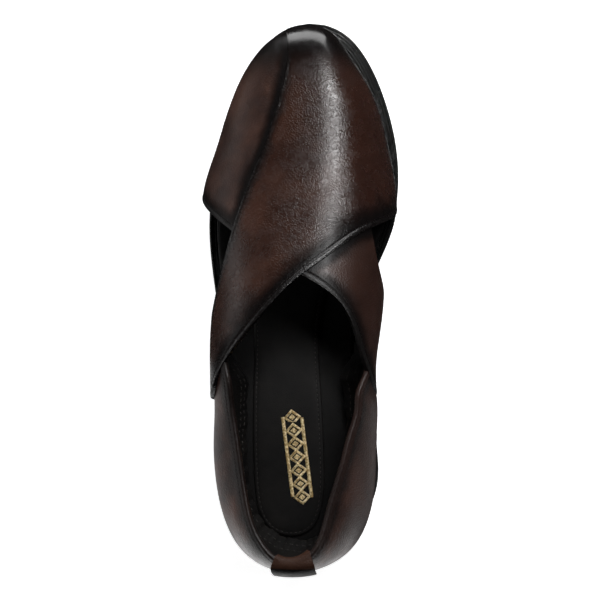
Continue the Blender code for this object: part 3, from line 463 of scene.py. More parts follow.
def border_distances(grid):
    """Distance of each point from the start, end, front and rear border, as four layers."""
    layers = []
    for border in (grid[0], grid[-1], grid[:, 0], grid[:, -1]):
        nearest = [np.linalg.norm(border - row[:, None], axis=-1).min(1) for row in grid]
        layers.append(np.array(nearest))
    return np.array(layers)


def keep_distance(obj, border, values):
    """Keeps each point's distance in millimetres from a border, for the airbrush and the painted shadow to follow."""
    attribute = obj.data.attributes.new("from_" + border, "FLOAT", "POINT")
    attribute.data.foreach_set("value", values.astype(np.float32))


def rolled_edges(obj, width, segments=2, sharp=60):
    """The piece with its sharp edges rolled by a bevel of a width in millimetres."""
    bevel = obj.modifiers.new("rolled edge", "BEVEL")
    bevel.width, bevel.segments = width * MM, segments
    bevel.limit_method, bevel.angle_limit = "ANGLE", math.radians(sharp)
    return obj


def shell(name, grid, inner, outer, clear, materials, feet=("start", "end"), roll=0.7, relief=0.0):
    """A sheet of leather between two offsets from a grid, its lasted ends level on the welt."""
    normal = grid_normals(grid)
    rows, columns = grid.shape[:2]
    inner, outer, relief = (np.broadcast_to(part, (rows, columns))[..., None] for part in (inner, outer, relief))
    low, high = grid + normal * inner, grid + normal * (outer + relief)
    for layer in (low, high):
        layer[..., 2] = np.maximum(layer[..., 2], sole_top(layer[..., 1]) + clear)
        for row in [{"start": 0, "end": -1}[foot] for foot in feet]:
            layer[row, :, 2] = sole_top(layer[row, :, 1]) + clear
    top = np.arange(rows * columns).reshape(rows, columns)
    bottom = top + rows * columns
    quads = np.stack([top[:-1, :-1], top[1:, :-1], top[1:, 1:], top[:-1, 1:]], -1).reshape(-1, 4)
    under = np.stack([bottom[:-1, :-1], bottom[:-1, 1:], bottom[1:, 1:], bottom[1:, :-1]], -1).reshape(-1, 4)
    rim = [*top[:-1, 0], *top[-1, :-1], *top[:0:-1, -1], *top[0, :0:-1]]
    side = [[q, p, p + rows * columns, q + rows * columns] for p, q in zip(rim, rim[1:] + rim[:1])]
    faces = [*quads.tolist(), *under.tolist(), *side]
    made = piece(name, np.concatenate([high.reshape(-1, 3), low.reshape(-1, 3)]), faces, materials)
    slots = [OUTER] * len(quads) + [LINING] * len(under) + [OUTER] * len(side)
    made.data.polygons.foreach_set("material_index", slots)
    for border, layer in zip(("start", "end", "front", "rear"), border_distances(grid)):
        keep_distance(made, border, np.tile(layer.ravel(), 2))
    return finished(rolled_edges(made, roll, 3), 50)


print("a shell is %.1f mm thick, leather and lining" % LEATHER)

# %% [markdown]
# ## Camera, light and floor
# A shoe in a catalogue is shot from straight above on a light table, which glows by itself, so that the
# ground stays white. One softbox over the toe gives the grey stripe down the middle of the straps, and
# three more shine on the toe and along the outer side. The room is dim overhead, so the leather keeps its
# dark edges. Area lights of the right size and place do this; small lights would only give small glints.

# %% Camera
VIEW_AIM = np.array([-1.8, 96.7, 30.0])      # mm, the middle of the shoe
VIEW_TILT = math.radians(9.5)                # the lens stands a little to the inner side
VIEW_DISTANCE = 770.0


def camera_above():
    data = bpy.data.cameras.new("camera")
    data.lens, data.sensor_width = 85.0, 36.0
    made = placed("camera", data)
    back = np.array([math.sin(VIEW_TILT), 0.0, math.cos(VIEW_TILT)])
    right = np.array([math.cos(VIEW_TILT), 0.0, -math.sin(VIEW_TILT)])
    turn = Matrix([right, (0.0, 1.0, 0.0), back]).transposed().to_4x4()
    made.matrix_world = Matrix.Translation(Vector((VIEW_AIM + back * VIEW_DISTANCE) * MM)) @ turn
    return made


bpy.context.scene.camera = camera_above()
bpy.context.scene.view_settings.view_transform = "Standard"
print("camera at", [round(c, 3) for c in bpy.context.scene.camera.location])

# %% Softboxes
SHOE_MIDDLE = Vector((0.0, 0.1, 0.04))


def softbox(name, aside, tilt, distance, wide, long, brightness):
    """An area light seen from the shoe at two angles in degrees: aside to +X and tilt to the toe."""
    data = bpy.data.lights.new(name, "AREA")
    data.shape, data.size, data.size_y = "RECTANGLE", wide, long
    data.energy = brightness * wide * long * math.pi
    made = placed(name, data)
    direction = Vector((math.tan(math.radians(aside)), math.tan(math.radians(tilt)), 1.0)).normalized()
    made.location = SHOE_MIDDLE + direction * distance
    made.rotation_euler = direction.to_track_quat("Z", "Y").to_euler()


LIGHT_ROWS = [
    # name, degrees aside and of tilt, distance, width and length in metres, brightness
    ("overhead strip", 19.5, 28.6, 0.9, 0.60, 0.18, 10.3),       # the stripe down the over strap
    ("front strip", 22.5, 38.0, 0.9, 0.16, 0.12, 34.0),          # carries the stripe on to the toe
    ("low toe light", 0.0, 79.0, 1.4, 1.3, 0.66, 5.4),           # the shine on the front of the toe
    ("outer side card", -76.0, 20.0, 1.5, 1.6, 0.5, 1.3),        # the soft light on the outer side
]
for row in LIGHT_ROWS:
    softbox(*row)
print(len(LIGHT_ROWS), "softboxes")

# %% Room and floor
world = bpy.data.worlds.new("studio")
bpy.context.scene.world = world
world.use_nodes = True
SMOOTH = {"interpolation_type": "SMOOTHSTEP"}


def stretch(value, low, high, to_low=0.0, to_high=1.0):
    """What a Map Range node needs to stretch a value from one span to another."""
    return {"Value": value, "From Min": low, "From Max": high, "To Min": to_low, "To Max": to_high}


HORIZON, CEILING = 0.35, 0.07                # brightness of the room level with the floor and overhead
room = world.node_tree
outlook = add(room, "ShaderNodeTexCoord").outputs["Generated"]
height = add(room, "ShaderNodeSeparateXYZ", {"Vector": outlook}).outputs["Z"]
level = add(room, "ShaderNodeMapRange", stretch(height, 0.03, 0.24, HORIZON, CEILING), **SMOOTH)
feed(room.nodes["Background"], {"Strength": level.outputs["Result"]})
print("room goes from %.2f at the floor to %.2f overhead" % (HORIZON, CEILING))

# %% Floor and backdrop


def new_material(name):
    """An empty material, with its node tree and its shader."""
    made = bpy.data.materials.new(name)
    made.use_nodes = True
    return made, made.node_tree, made.node_tree.nodes["Principled BSDF"]


def glowing(name, colour, glow):
    """A matt surface that also shines a little by itself."""
    made, _, shader = new_material(name)
    white = {"Emission Color": linear("#ffffff"), "Emission Strength": glow}
    feed(shader, {"Base Color": linear(colour), "Roughness": 0.9, **white})
    return made


def band_faces(rows, length, closed=False):
    """Quads between rows of points that each go round; a closed band joins its last row to its first."""
    return [
        [low * length + i, low * length + (i + 1) % length, high * length + (i + 1) % length, high * length + i]
        for low in range(rows if closed else rows - 1)
        for high in [(low + 1) % rows]
        for i in range(length)
    ]


FLOOR_REACH, FLOOR_SIDES = 4000.0, 64
FLOOR_LEVEL = -0.05                          # a hair under the shoe
WALL_ROWS = [(0.999, -5.0), (0.999, 1500.0), (0.7, 3200.0), (0.05, 3990.0)]      # share of the reach, height
turn = np.linspace(0, 2 * math.pi, FLOOR_SIDES, endpoint=False)
rim = np.column_stack([np.cos(turn), np.sin(turn)]) * FLOOR_REACH
light_table, pale_paint = glowing("pale light table", "#f4f4f4", 0.92), glowing("pale backdrop", "#000000", 0.88)
disc = np.column_stack([rim, 0 * turn + FLOOR_LEVEL])
floor = piece("studio_floor", disc, [range(FLOOR_SIDES)], [light_table])
floor.visible_glossy = False                 # the leather mirrors the cards below, and not the floor
wall = [np.column_stack([rim * share, 0 * turn + height]) for share, height in WALL_ROWS]
wall_faces = band_faces(len(WALL_ROWS), FLOOR_SIDES)
backdrop = piece("studio_backdrop", np.concatenate(wall), wall_faces, [pale_paint])
backdrop.visible_glossy = backdrop.visible_diffuse = backdrop.visible_shadow = False
print("floor and backdrop reach %.0f m all round" % (FLOOR_REACH * MM))

# %% Reflector cards
CARD_LEVEL = 1.0
CARD_ROWS = [
    # name, x from and to, y from and to, brightness
    ("outer_card", -260.0, -58.0, -60.0, 60.0, 0.5),
    ("inner_card", 56.0, 260.0, -60.0, 40.0, 0.3),
    ("rear_outer_card", -320.0, -20.0, -500.0, -60.0, 2.0),
    ("rear_inner_card", -20.0, 450.0, -500.0, -60.0, 1.3),
]


def card(name, x_from, x_to, y_from, y_to, brightness):
    """A reflector card that lies beside the shoe, for its gloss alone."""
    corners = [(x, y, CARD_LEVEL) for x, y in ((x_from, y_from), (x_to, y_from), (x_to, y_to), (x_from, y_to))]
    made = piece(name, corners, [(0, 1, 2, 3)], [glowing(name, "#000000", brightness)])
    made.visible_camera = made.visible_diffuse = made.visible_shadow = False


for row in CARD_ROWS:
    card(*row)
print(len(CARD_ROWS), "cards lie beside the shoe")

# %% [markdown]
# ## Burnished calf
# The upper is calf leather in a warm dark brown, pressed with a fine pebble grain. A finisher sprays
# black along every edge and over the toe, and the wax leaves a soft shine. A picture of leather could be
# wrapped round it, but it would stretch and repeat, so the finish is built from its parts. The grain is a
# Voronoi pattern sized in millimetres. The spray follows the distances kept on the leather, broken up by
# noise so that it clouds as real spray does. Where the over strap lies on the under strap, the under
# strap darkens along its edges: partly spray, partly painted shadow of the over strap. Gloss is only the
# shader's own roughness and coat.

# %% Tools for materials
SHARE, FIRST, SECOND, BLEND = 0, 6, 7, 2     # the inputs and the output of a Mix node that blend colours
COLOURS = {"data_type": "RGBA"}


def cells_per_metre(size):
    """The scale of a pattern whose cells are this many millimetres across."""
    return 1000.0 / size


def specks(tree, size, detail=3.0, roughness=0.5):
    """Noise with spots of a size in millimetres, fixed to the piece."""
    place = add(tree, "ShaderNodeTexCoord").outputs["Object"]
    inputs = {"Vector": place, "Scale": cells_per_metre(size), "Detail": detail, "Roughness": roughness}
    return add(tree, "ShaderNodeTexNoise", inputs).outputs["Fac"]


def clouds(tree, size, thin, thick, least=0.0, most=1.0, **finer):
    """Soft clouds of a size: least where the specks are under thin, and most where they are over thick."""
    reach = stretch(specks(tree, size, **finer), thin, thick, least, most)
    return add(tree, "ShaderNodeMapRange", reach, **SMOOTH).outputs["Result"]


def mottled(tree, first, second, size, thin, thick, **finer):
    """A colour that clouds from one hex colour to another."""
    share = clouds(tree, size, thin, thick, **finer)
    inputs = {SHARE: share, FIRST: linear(first), SECOND: linear(second)}
    return add(tree, "ShaderNodeMix", inputs, **COLOURS).outputs[BLEND]


def along_shoe(tree, axis, start, end, before=0.0, after=1.0):
    """A value that changes between two places on an axis of the shoe, in millimetres."""
    place = add(tree, "ShaderNodeTexCoord").outputs["Object"]
    place = add(tree, "ShaderNodeSeparateXYZ", {"Vector": place}).outputs[axis]
    reach = stretch(place, start * MM, end * MM, before, after)
    return add(tree, "ShaderNodeMapRange", reach, **SMOOTH).outputs["Result"]


print("a grain of 1 mm is", cells_per_metre(1.0), "cells to the metre")

# %% Spray and grain


def sprayed_and_shaded(tree, reaches):
    """How black the spray is, with the painted shadow beside the over strap's edges: full at a border and gone at its
    reach, for each border in mm.
    """
    total = 0.0
    ragged = clouds(tree, 11.0, 0.3, 0.7, 0.85, 1.2, detail=1.0)
    for border, (full, reach) in reaches.items():
        away = add(tree, "ShaderNodeAttribute", attribute_name="from_" + border).outputs["Fac"]
        away = add(tree, "ShaderNodeMath", {0: away, 1: ragged}, operation="MULTIPLY").outputs["Value"]
        black = add(tree, "ShaderNodeMapRange", stretch(away, full, reach, 1.0, 0.0), **SMOOTH)
        darkest = {0: total, 1: black.outputs["Result"]}
        total = add(tree, "ShaderNodeMath", darkest, operation="MAXIMUM").outputs["Value"]
    return total


PORE = 0.25                  # mm across a pore


def pebble_grain(tree, size, depth, strength=1.0):
    """Normals of pressed pebbles: round cells with fine creases between them, and pores on top."""
    place = add(tree, "ShaderNodeTexCoord").outputs["Object"]
    cell = {"Vector": place, "Scale": cells_per_metre(size), "Randomness": 0.9}
    cell = add(tree, "ShaderNodeTexVoronoi", cell).outputs["Distance"]
    pebble = add(tree, "ShaderNodeMapRange", stretch(cell, 0.1, 0.75, 1.0, 0.0), **SMOOTH)
    pored = {0: specks(tree, PORE, 2.0), 1: 0.3, 2: pebble.outputs["Result"]}
    height = add(tree, "ShaderNodeMath", pored, operation="MULTIPLY_ADD").outputs["Value"]
    bumps = {"Height": height, "Distance": depth * MM, "Strength": strength}
    return add(tree, "ShaderNodeBump", bumps).outputs["Normal"]


print("a pore is %.2f mm across" % PORE)

# %% Calf and lining
GRAIN, GRAIN_DEPTH = 1.0, 0.09               # mm; real grain is nearer 0.7, which would be too fine to show
# The spray's black also serves as painted shadow along the over strap's edges on the under strap.
SPRAY_AND_SHADE_BLACK, INNER_BROWN = linear("#0d0a0a"), linear("#27140e")


def burnished_calf(name, reaches, centre="#3b251d", deep="#2a1914", toe=False, behind=None, dull=0.21, gloss=0.45):
    """Brown calf with black spray at its borders, over the toe, and behind a y in millimetres.

    Dull is the roughness of the wax, which gives long soft highlights; gloss is how strong they are.
    """
    made, tree, shader = new_material(name)
    brown = mottled(tree, deep, centre, 26.0, 0.36, 0.66, detail=5.0, roughness=0.6)
    inner = {SHARE: along_shoe(tree, "X", 16.0, 36.0, 0.0, 0.75), FIRST: brown, SECOND: INNER_BROWN}
    brown = add(tree, "ShaderNodeMix", inner, **COLOURS).outputs[BLEND]
    black = sprayed_and_shaded(tree, reaches)
    dry = sprayed_and_shaded(tree, {border: reach for border, reach in reaches.items() if border in ("rear", "lap_spray_and_shade")})
    if "rear" in reaches:                    # the turned edge itself is rubbed to a shine
        edge = add(tree, "ShaderNodeAttribute", attribute_name="from_rear").outputs["Fac"]
        rubbed = add(tree, "ShaderNodeMapRange", stretch(edge, 1.5, 3.2), **SMOOTH).outputs["Result"]
        dry = add(tree, "ShaderNodeMath", {0: dry, 1: rubbed}, operation="MULTIPLY").outputs["Value"]
    shine, grain = clouds(tree, 5.0, 0.3, 0.7, dull, dull + 0.09), 1.0
    if toe:                                  # the cap of the toe is black, pressed smoother and polished
        cap = {0: black, 1: along_shoe(tree, "Y", 207.0, 233.0)}
        black = add(tree, "ShaderNodeMath", cap, operation="MAXIMUM").outputs["Value"]
        polish = {0: along_shoe(tree, "Y", 195.0, 230.0), 1: -0.06, 2: shine}
        shine = add(tree, "ShaderNodeMath", polish, operation="MULTIPLY_ADD").outputs["Value"]
        grain = along_shoe(tree, "Y", 215.0, 235.0, 1.0, 0.12)
    if behind:
        black = along_shoe(tree, "Y", behind - 1.0, behind, 1.0, 0.0)
    if dry:
        dry = add(tree, "ShaderNodeMapRange", stretch(dry, 0.1, 0.9, gloss, 0.10), **SMOOTH).outputs["Result"]
    colour = {SHARE: black, FIRST: brown, SECOND: SPRAY_AND_SHADE_BLACK}
    feed(shader, {
        "Base Color": add(tree, "ShaderNodeMix", colour, **COLOURS).outputs[BLEND],
        "Roughness": shine,
        "Specular IOR Level": dry or gloss,
        "Coat Weight": 0.27 * gloss,
        "Coat Roughness": 0.22,
        "Normal": pebble_grain(tree, GRAIN, GRAIN_DEPTH, grain),
    })
    return made


def black_lining(name="black pigskin lining", colour="#0c0b0b", dusty="#151312"):
    """Soft black lining with open pores: it swallows the light, so the inside of the shoe stays dark."""
    made, tree, shader = new_material(name)
    feed(shader, {
        "Base Color": mottled(tree, colour, dusty, 12.0, 0.3, 0.7),
        "Roughness": 0.62,
        "Specular IOR Level": 0.25,
        "Normal": pebble_grain(tree, 0.5, 0.06),
    })
    return made


print("calf grain of %.1f mm, pressed %.2f mm deep" % (GRAIN, GRAIN_DEPTH))

# %% The leathers of the upper
# Each border has two distances in mm: as far as the first the spray is full, at the second it is gone.
OVER_SPRAY = {"front": (0.2, 7.0), "rear": (4.0, 17.0), "start": (1.5, 9.0), "end": (1.0, 10.0)}
# On the under strap, the darkening along the over strap's edges is partly black spray and partly painted shadow of
# the over strap.
UNDER_SPRAY_AND_SHADE = {"lap_spray_and_shade": (1.8, 9.0), "rear": (2.5, 12.0), "start": (1.5, 9.0), "end": (3.0, 14.0)}
QUARTER_SPRAY = {"start": (4.0, 16.0), "end": (2.0, 11.0)}
OVER_CALF = burnished_calf("burnished calf, over strap", OVER_SPRAY, toe=True)
UNDER_CALF = burnished_calf("burnished calf, under strap", UNDER_SPRAY_AND_SHADE, "#422a21", toe=True, dull=0.36, gloss=0.40)
QUARTER_CALF = burnished_calf("burnished calf, quarter", QUARTER_SPRAY, "#54352a", dull=0.34, gloss=0.33)
LINING_LEATHER = black_lining()
print("leathers:", OVER_CALF.name, UNDER_CALF.name, QUARTER_CALF.name)

# %% [markdown]
# ## The two straps
# Both straps start under the toe. The over strap runs from the toe and the inner forefoot across to the
# outer waist, and the under strap from the toe and the outer forefoot to the inner waist. Their cut
# edges are the curves one sees. They could be sculpted, but then their edges would never run as clean
# as a knife leaves them, so each is the patch between four plain curves.

# %% Straps
OVER_FRONT = [(-1.0, 244.6), (-0.36, 241.6), (-0.22, 236.0), (-0.18, 228.0), (-0.20, 205.0), (-0.235, 189.0),
              (-0.28, 170.0), (-0.33, 149.0), (-0.39, 130.0), (-0.49, 107.0), (-0.60, 90.0), (-1.0, 73.0)]
OVER_REAR = [(1.0, 147.0), (0.86, 144.5), (0.53, 137.5), (0.295, 130.0), (0.12, 119.0), (0.0, 110.0),
             (-0.12, 95.0), (-0.26, 77.0), (-0.42, 60.5), (-0.57, 48.0), (-0.75, 43.5), (-1.0, 42.5)]
UNDER_FRONT = [(1.0, 238.0), (0.60, 225.0), (0.42, 200.0), (0.36, 175.0), (0.38, 150.0), (0.43, 131.0),
               (0.51, 117.0), (0.68, 100.0), (1.0, 77.0)]
UNDER_REAR = [(-1.0, 155.0), (-0.80, 153.0), (-0.625, 146.5), (-0.40, 134.0), (-0.20, 121.0), (0.0, 109.5),
              (0.205, 98.0), (0.41, 73.5), (0.66, 50.0), (0.84, 46.0), (1.0, 47.0)]
STRAP_LIFT = 1.2             # how far the over strap stands proud of the under strap
FOOT_STEP = 0.12             # each lasted end stands this much higher than the one below it


def crowded(count, ends=0.8):
    """Shares from 0 to 1 that crowd to both ends, where a cut edge needs fine cells."""
    even = np.linspace(0, 1, count)
    return even - ends * np.sin(2 * np.pi * even) / (2 * np.pi)


def strap_grid(front_rows, rear_rows, front_side, long, wide):
    """A strap's grid of points: rows from the toe to the waist, columns from its front to its rear."""
    edges, shares = [], crowded(wide)
    for rows in (front_rows, rear_rows):
        dense = through([unroll(v, y) for v, y in rows], 6000)
        edges.append(dense[np.round(np.linspace(0, 1, long) ** TOE_CROWD * 5999).astype(int)])
    front, rear = edges
    before_tip = foot_run(front_side, front_rows[0][1], FEATHER_TIP, 60)
    past_tip = foot_run(-front_side, FEATHER_TIP, rear_rows[0][1], 400)
    start = spread(np.concatenate([before_tip, past_tip[1:]]), shares)
    start[0], start[-1] = front[0], rear[0]
    end = spread(foot_run(front_side, front_rows[-1][1], rear_rows[-1][1], 200), shares)
    return roll_up(patch(front, rear, start, end))


VAMP_DIP = 2.4               # mm at its deepest


def dip(grid):
    """A slight dip of the vamp before the instep, so that it climbs more steeply to the crossing."""
    y = grid[..., 1]
    return -VAMP_DIP * eased((y - 110.0) / 50.0) * eased((215.0 - y) / 52.0)


over_grid = strap_grid(OVER_FRONT, OVER_REAR, LATERAL, 150, 120)
under_grid = strap_grid(UNDER_FRONT, UNDER_REAR, MEDIAL, 150, 120)
for grid in (over_grid, under_grid):
    grid[..., 2] += dip(grid)
print("strap cells:", over_grid.shape, under_grid.shape)

# %% [markdown]
# ## Creases and lasting puckers
# Worn or not, lasted leather isn't dead smooth. Where the ball of the foot bends, soft creases run
# across a strap, and where the leather is pulled under the sole it gathers in small puckers. A cloth
# simulation would hardly move leather that is stretched over a last, so both are put in as shallow
# troughs with a ridge beside them, in the shoe's own millimetres. A turned edge is a low bead.

# %% Relief of the leather


def crease(grid, start, end, width, depth):
    """A soft trough between two plan points, with a low ridge on either side."""
    start, end = np.array(start), np.array(end)
    along = end - start
    plan = grid[..., :2] - start
    share = np.clip((plan @ along) / (along @ along), 0, 1)
    away = np.linalg.norm(plan - share[..., None] * along, axis=-1) / width
    ends = np.sin(np.pi * np.clip(share, 0.02, 0.98)) ** 0.7
    return -depth * ends * (1 - 0.9 * away**2) * np.exp(-(away**2))


def hem(away, wide=2.4, bead=0.20, groove=0.24):
    """A turned edge: a low bead along the border with a groove on its inner side."""
    crest = bead * np.exp(-(((away - 0.5 * wide) / (0.32 * wide)) ** 2))
    return crest - groove * np.exp(-(((away - 1.15 * wide) / (0.16 * wide)) ** 2))


def puckers(grid, row, pitch, depth, reach):
    """Small gathers along a lasted end, which fade up the leather."""
    foot = grid[row]
    run = run_of(foot)
    wave = np.sin(2 * np.pi * run / pitch + 1.3 * np.sin(run / 17.0)) * (0.6 + 0.4 * np.sin(run / 11.0))
    rise = grid[..., 2] - grid[row, :, 2]
    return depth * wave * np.exp(-((rise / reach) ** 2)) * eased(rise / 2.0)


print("a turned edge stands %.2f mm high" % hem(np.linspace(0, 4, 80)).max())

# %% Creases, puckers and turned edges
over_relief = (
    crease(over_grid, (-22, 112), (10, 150), 7.0, 0.30)
    + crease(over_grid, (14, 156), (40, 168), 5.0, 0.28)
    + crease(over_grid, (18, 172), (44, 182), 5.5, 0.22)
    + crease(over_grid, (-30, 92), (-12, 104), 5.0, 0.25)
    + puckers(over_grid, 0, 8.5, 0.16, 9.0)
    + puckers(over_grid, -1, 7.0, 0.14, 8.0)
)
under_relief = (
    crease(under_grid, (-50, 168), (-30, 176), 5.0, 0.28)
    + crease(under_grid, (-46, 184), (-24, 192), 5.5, 0.22)
    + crease(under_grid, (20, 92), (34, 74), 6.0, 0.28)
    + puckers(under_grid, 0, 8.0, 0.16, 9.0)
    + puckers(under_grid, -1, 7.0, 0.14, 8.0)
)
over_away, under_away = border_distances(over_grid), border_distances(under_grid)
FRONT, REAR = 2, 3           # rows of the border distances
away_from_toe = eased((245.0 - over_grid[..., 1]) / 12.0)
over_relief += hem(over_away[REAR]) + 0.25 * away_from_toe * hem(over_away[FRONT], 1.8)
under_relief += 0.8 * hem(under_away[REAR])
print("relief from %.2f to %.2f mm" % (over_relief.min(), over_relief.max()))

# %% Over and under strap
over_strap = shell(
    "over_strap", over_grid, STRAP_LIFT - LEATHER, STRAP_LIFT, GAP + 2 * FOOT_STEP, [OVER_CALF, LINING_LEATHER],
    relief=over_relief,
)
along_share = np.linspace(0, 1, under_grid.shape[0]) ** TOE_CROWD
UNDER_RISE = (0.70, 0.84)    # where along the under strap it climbs on to the quarter
climb = eased((along_share[:, None] - UNDER_RISE[0]) / (UNDER_RISE[1] - UNDER_RISE[0])) * STRAP_LIFT
under_strap = shell(
    "under_strap", under_grid, climb - LEATHER, climb, GAP + FOOT_STEP, [UNDER_CALF, LINING_LEATHER],
    relief=under_relief,
)
# How far the under strap is from the over strap's edges, for the darkening there: partly spray, partly painted
# shadow.
under_points = np.array([vertex.co for vertex in under_strap.data.vertices]) / MM
over_edges = np.concatenate([over_grid[::2, 0], over_grid[::2, -1]])
keep_distance(under_strap, "lap_spray_and_shade", np.linalg.norm(over_edges - under_points[:, None], axis=-1).min(1))
print("the over strap stands %.1f mm proud where it crosses" % STRAP_LIFT)

# %% [markdown]
# ## The quarter
# The quarter is one piece of leather that goes round the heel, with a wing on each side that runs under
# the straps. It could be sculpted from a cup, but its collar would then wander, so it follows ribs: each
# has a foot on the welt, a widest place and a turn in to the collar, and a spline joins them up.

# %% Ribs of the quarter
RIB_TURN = math.radians(52)
KNEE = 0.40                  # share of a rib below its widest place


def wing_row(side, y, cut):
    """A rib on a section of the forepart: foot, widest place, crown and turn."""
    crown_x, top, wide, wide_z, foot, foot_z, peak, arch, wall = section_sizes(side, y)
    turn = (1 - cut * (arch + wall) / arch) * math.pi / 2
    return [foot, y, foot_z, wide, y, wide_z, crown_x, y, top, turn]


def heel_row(side, foot_y, wide_x, wide_y, wide_z, top_x, top_y, top_z):
    """A rib round the heel, with its foot on the sole's edge."""
    at_back = foot_y == HEEL_END[1]
    y = FEATHER[side][0, 1] if at_back else foot_y
    x = HEEL_END[0] if at_back else float(foot_x(side, foot_y))
    inward, upward = 1 - math.cos(RIB_TURN), math.sin(RIB_TURN)
    crown = [wide_x + (top_x - wide_x) / inward, wide_y + (top_y - wide_y) / inward]
    crown.append(wide_z + (top_z - wide_z) / upward)
    return [x, y, float(sole_top(y)) + GAP, wide_x, wide_y, wide_z, *crown, RIB_TURN]


lateral_wing = [wing_row(LATERAL, y, cut) for y, cut, _ in WING_ROWS]
medial_wing = [wing_row(MEDIAL, y, cut) for y, _, cut in WING_ROWS]
heel_rows = [heel_row(*row) for row in HEEL_RIB_ROWS]
quarter_rows = np.array(lateral_wing + heel_rows + medial_wing[::-1], float)
quarter_run = run_of(quarter_rows[:, 3:5])
quarter_ribs = cubic(quarter_run / quarter_run[-1], quarter_rows)
print("the quarter is %.0f mm round at its widest" % quarter_run[-1])

# %% Quarter


def quarter_at(u, w):
    """A point of the quarter: u from 0 to 1 the way round, and w from 0 at its foot to 1 at the collar."""
    row = quarter_ribs(u)
    foot, wide, crown, turn = row[..., 0:3], row[..., 3:6], row[..., 6:9], row[..., 9]
    down = np.clip(1 - w / KNEE, 0, 1)[..., None]
    lower = wide + (foot - wide) * np.concatenate([down**2, down**2, down], -1)
    angle = (np.clip((w - KNEE) / (1 - KNEE), 0, 1) * turn)[..., None]
    lean, rise = 1 - np.cos(angle), np.sin(angle)
    upper = wide + (crown - wide) * np.concatenate([lean, lean, rise], -1)
    return np.where((w < KNEE)[..., None], lower, upper)


QUARTER_SPAN = (0.066, 0.942)                # the wings end under the straps
around, tall = np.meshgrid(np.linspace(*QUARTER_SPAN, 240), np.linspace(0, 1, 44), indexing="ij")
quarter_grid = quarter_at(around, tall).transpose(1, 0, 2)
quarter = shell(
    "quarter", quarter_grid, -LEATHER, 0.0, GAP, [QUARTER_CALF, LINING_LEATHER], feet=("start",),
    relief=puckers(quarter_grid, 0, 8.0, 0.14, 8.0),
)
for strap in (over_strap, under_strap, quarter):
    onto_shoe(strap, "upper_leather", "upper")

# %% [markdown]
# ## Seams
# A seam is a row of short thread loops at an even pitch along a line on the leather. Laying hundreds
# by hand would be dull and uneven, so a node tree does it: it turns a line into a curve, spaces points
# along it and sets one small loop on each, turned along the seam. The loops are made real at the end,
# because an exporter drops instances.

# %% Stitch tree


def open_tree(name, sizes):
    """A geometry node tree with its named sizes, and the sockets of what it is given."""
    tree = bpy.data.node_groups.new(name, "GeometryNodeTree")
    face = tree.interface
    face.new_socket("Geometry", in_out="INPUT", socket_type="NodeSocketGeometry")
    for label, value in sizes.items():
        kind = "NodeSocketInt" if isinstance(value, int) else "NodeSocketFloat"
        face.new_socket(label, in_out="INPUT", socket_type=kind).default_value = value
    face.new_socket("Material", in_out="INPUT", socket_type="NodeSocketMaterial")
    face.new_socket("Geometry", in_out="OUTPUT", socket_type="NodeSocketGeometry")
    return tree, add(tree, "NodeGroupInput").outputs


def close_tree(tree, geometry, material):
    """The tree, ended in plain geometry with its material."""
    real = add(tree, "GeometryNodeRealizeInstances", {"Geometry": geometry}).outputs["Geometry"]
    coloured = add(tree, "GeometryNodeSetMaterial", {"Geometry": real, "Material": material})
    add(tree, "NodeGroupOutput", {"Geometry": coloured.outputs["Geometry"]})
    return tree


def stitch_tree():
    sizes = {"Pitch": 2.4 * MM, "Length": 1.7 * MM, "Thread": 0.45 * MM}
    tree, given = open_tree("row of stitches", sizes)
    line = add(tree, "GeometryNodeMeshToCurve", {"Mesh": given["Geometry"]}).outputs["Curve"]
    spacing = {"Curve": line, "Length": given["Pitch"]}
    points = add(tree, "GeometryNodeCurveToPoints", spacing, mode="LENGTH").outputs
    loop = add(tree, "GeometryNodeMeshUVSphere", {"Segments": 7, "Rings": 5, "Radius": 0.5}).outputs["Mesh"]
    loop = add(tree, "GeometryNodeSetShadeSmooth", {"Geometry": loop}).outputs["Geometry"]
    size = add(tree, "ShaderNodeCombineXYZ", {"X": given["Thread"], "Y": given["Thread"], "Z": given["Length"]})
    rows = add(tree, "GeometryNodeInstanceOnPoints", {
        "Points": points["Points"], "Rotation": points["Rotation"],
        "Instance": loop, "Scale": size.outputs["Vector"],
    })
    return close_tree(tree, rows.outputs["Instances"], given["Material"])


def run_tree(obj, tree, **sizes):
    """Runs a node tree on an object with its named inputs set, and keeps the plain mesh."""
    modifier = obj.modifiers.new(tree.name, "NODES")
    modifier.node_group = tree
    sockets = {item.name: item.identifier for item in tree.interface.items_tree if item.in_out == "INPUT"}
    for label, value in sizes.items():
        modifier[sockets[label]] = value
    return finished(obj)


STITCHES = stitch_tree()
print(STITCHES.name, len(STITCHES.nodes), "nodes")

# %% Thread and lines to sew along


def line_object(name, paths):
    """Lines of points in millimetres as one mesh of edges."""
    points, edges = [], []
    for path in paths:
        start = len(points)
        points += (np.asarray(path) * MM).tolist()
        edges += [(start + i, start + i + 1) for i in range(len(path) - 1)]
    mesh = bpy.data.meshes.new(name)
    mesh.from_pydata(points, edges, [])
    return placed(name, mesh)


def waxed_thread(name, colour):
    """Twisted waxed thread: fine slanted ridges and a dull shine."""
    made, tree, shader = new_material(name)
    place = add(tree, "ShaderNodeTexCoord").outputs["Object"]
    ridges = {"Vector": place, "Scale": cells_per_metre(1.6), "Distortion": 1.0}
    twist = add(tree, "ShaderNodeTexWave", ridges, bands_direction="DIAGONAL").outputs["Fac"]
    shade = {SHARE: twist, FIRST: linear(colour), SECOND: linear("#050505")}
    feed(shader, {
        "Base Color": add(tree, "ShaderNodeMix", shade, **COLOURS).outputs[BLEND],
        "Roughness": 0.5,
        "Specular IOR Level": 0.2,
        "Normal": add(tree, "ShaderNodeBump", {"Height": twist, "Distance": 0.05 * MM}).outputs["Normal"],
    })
    return made


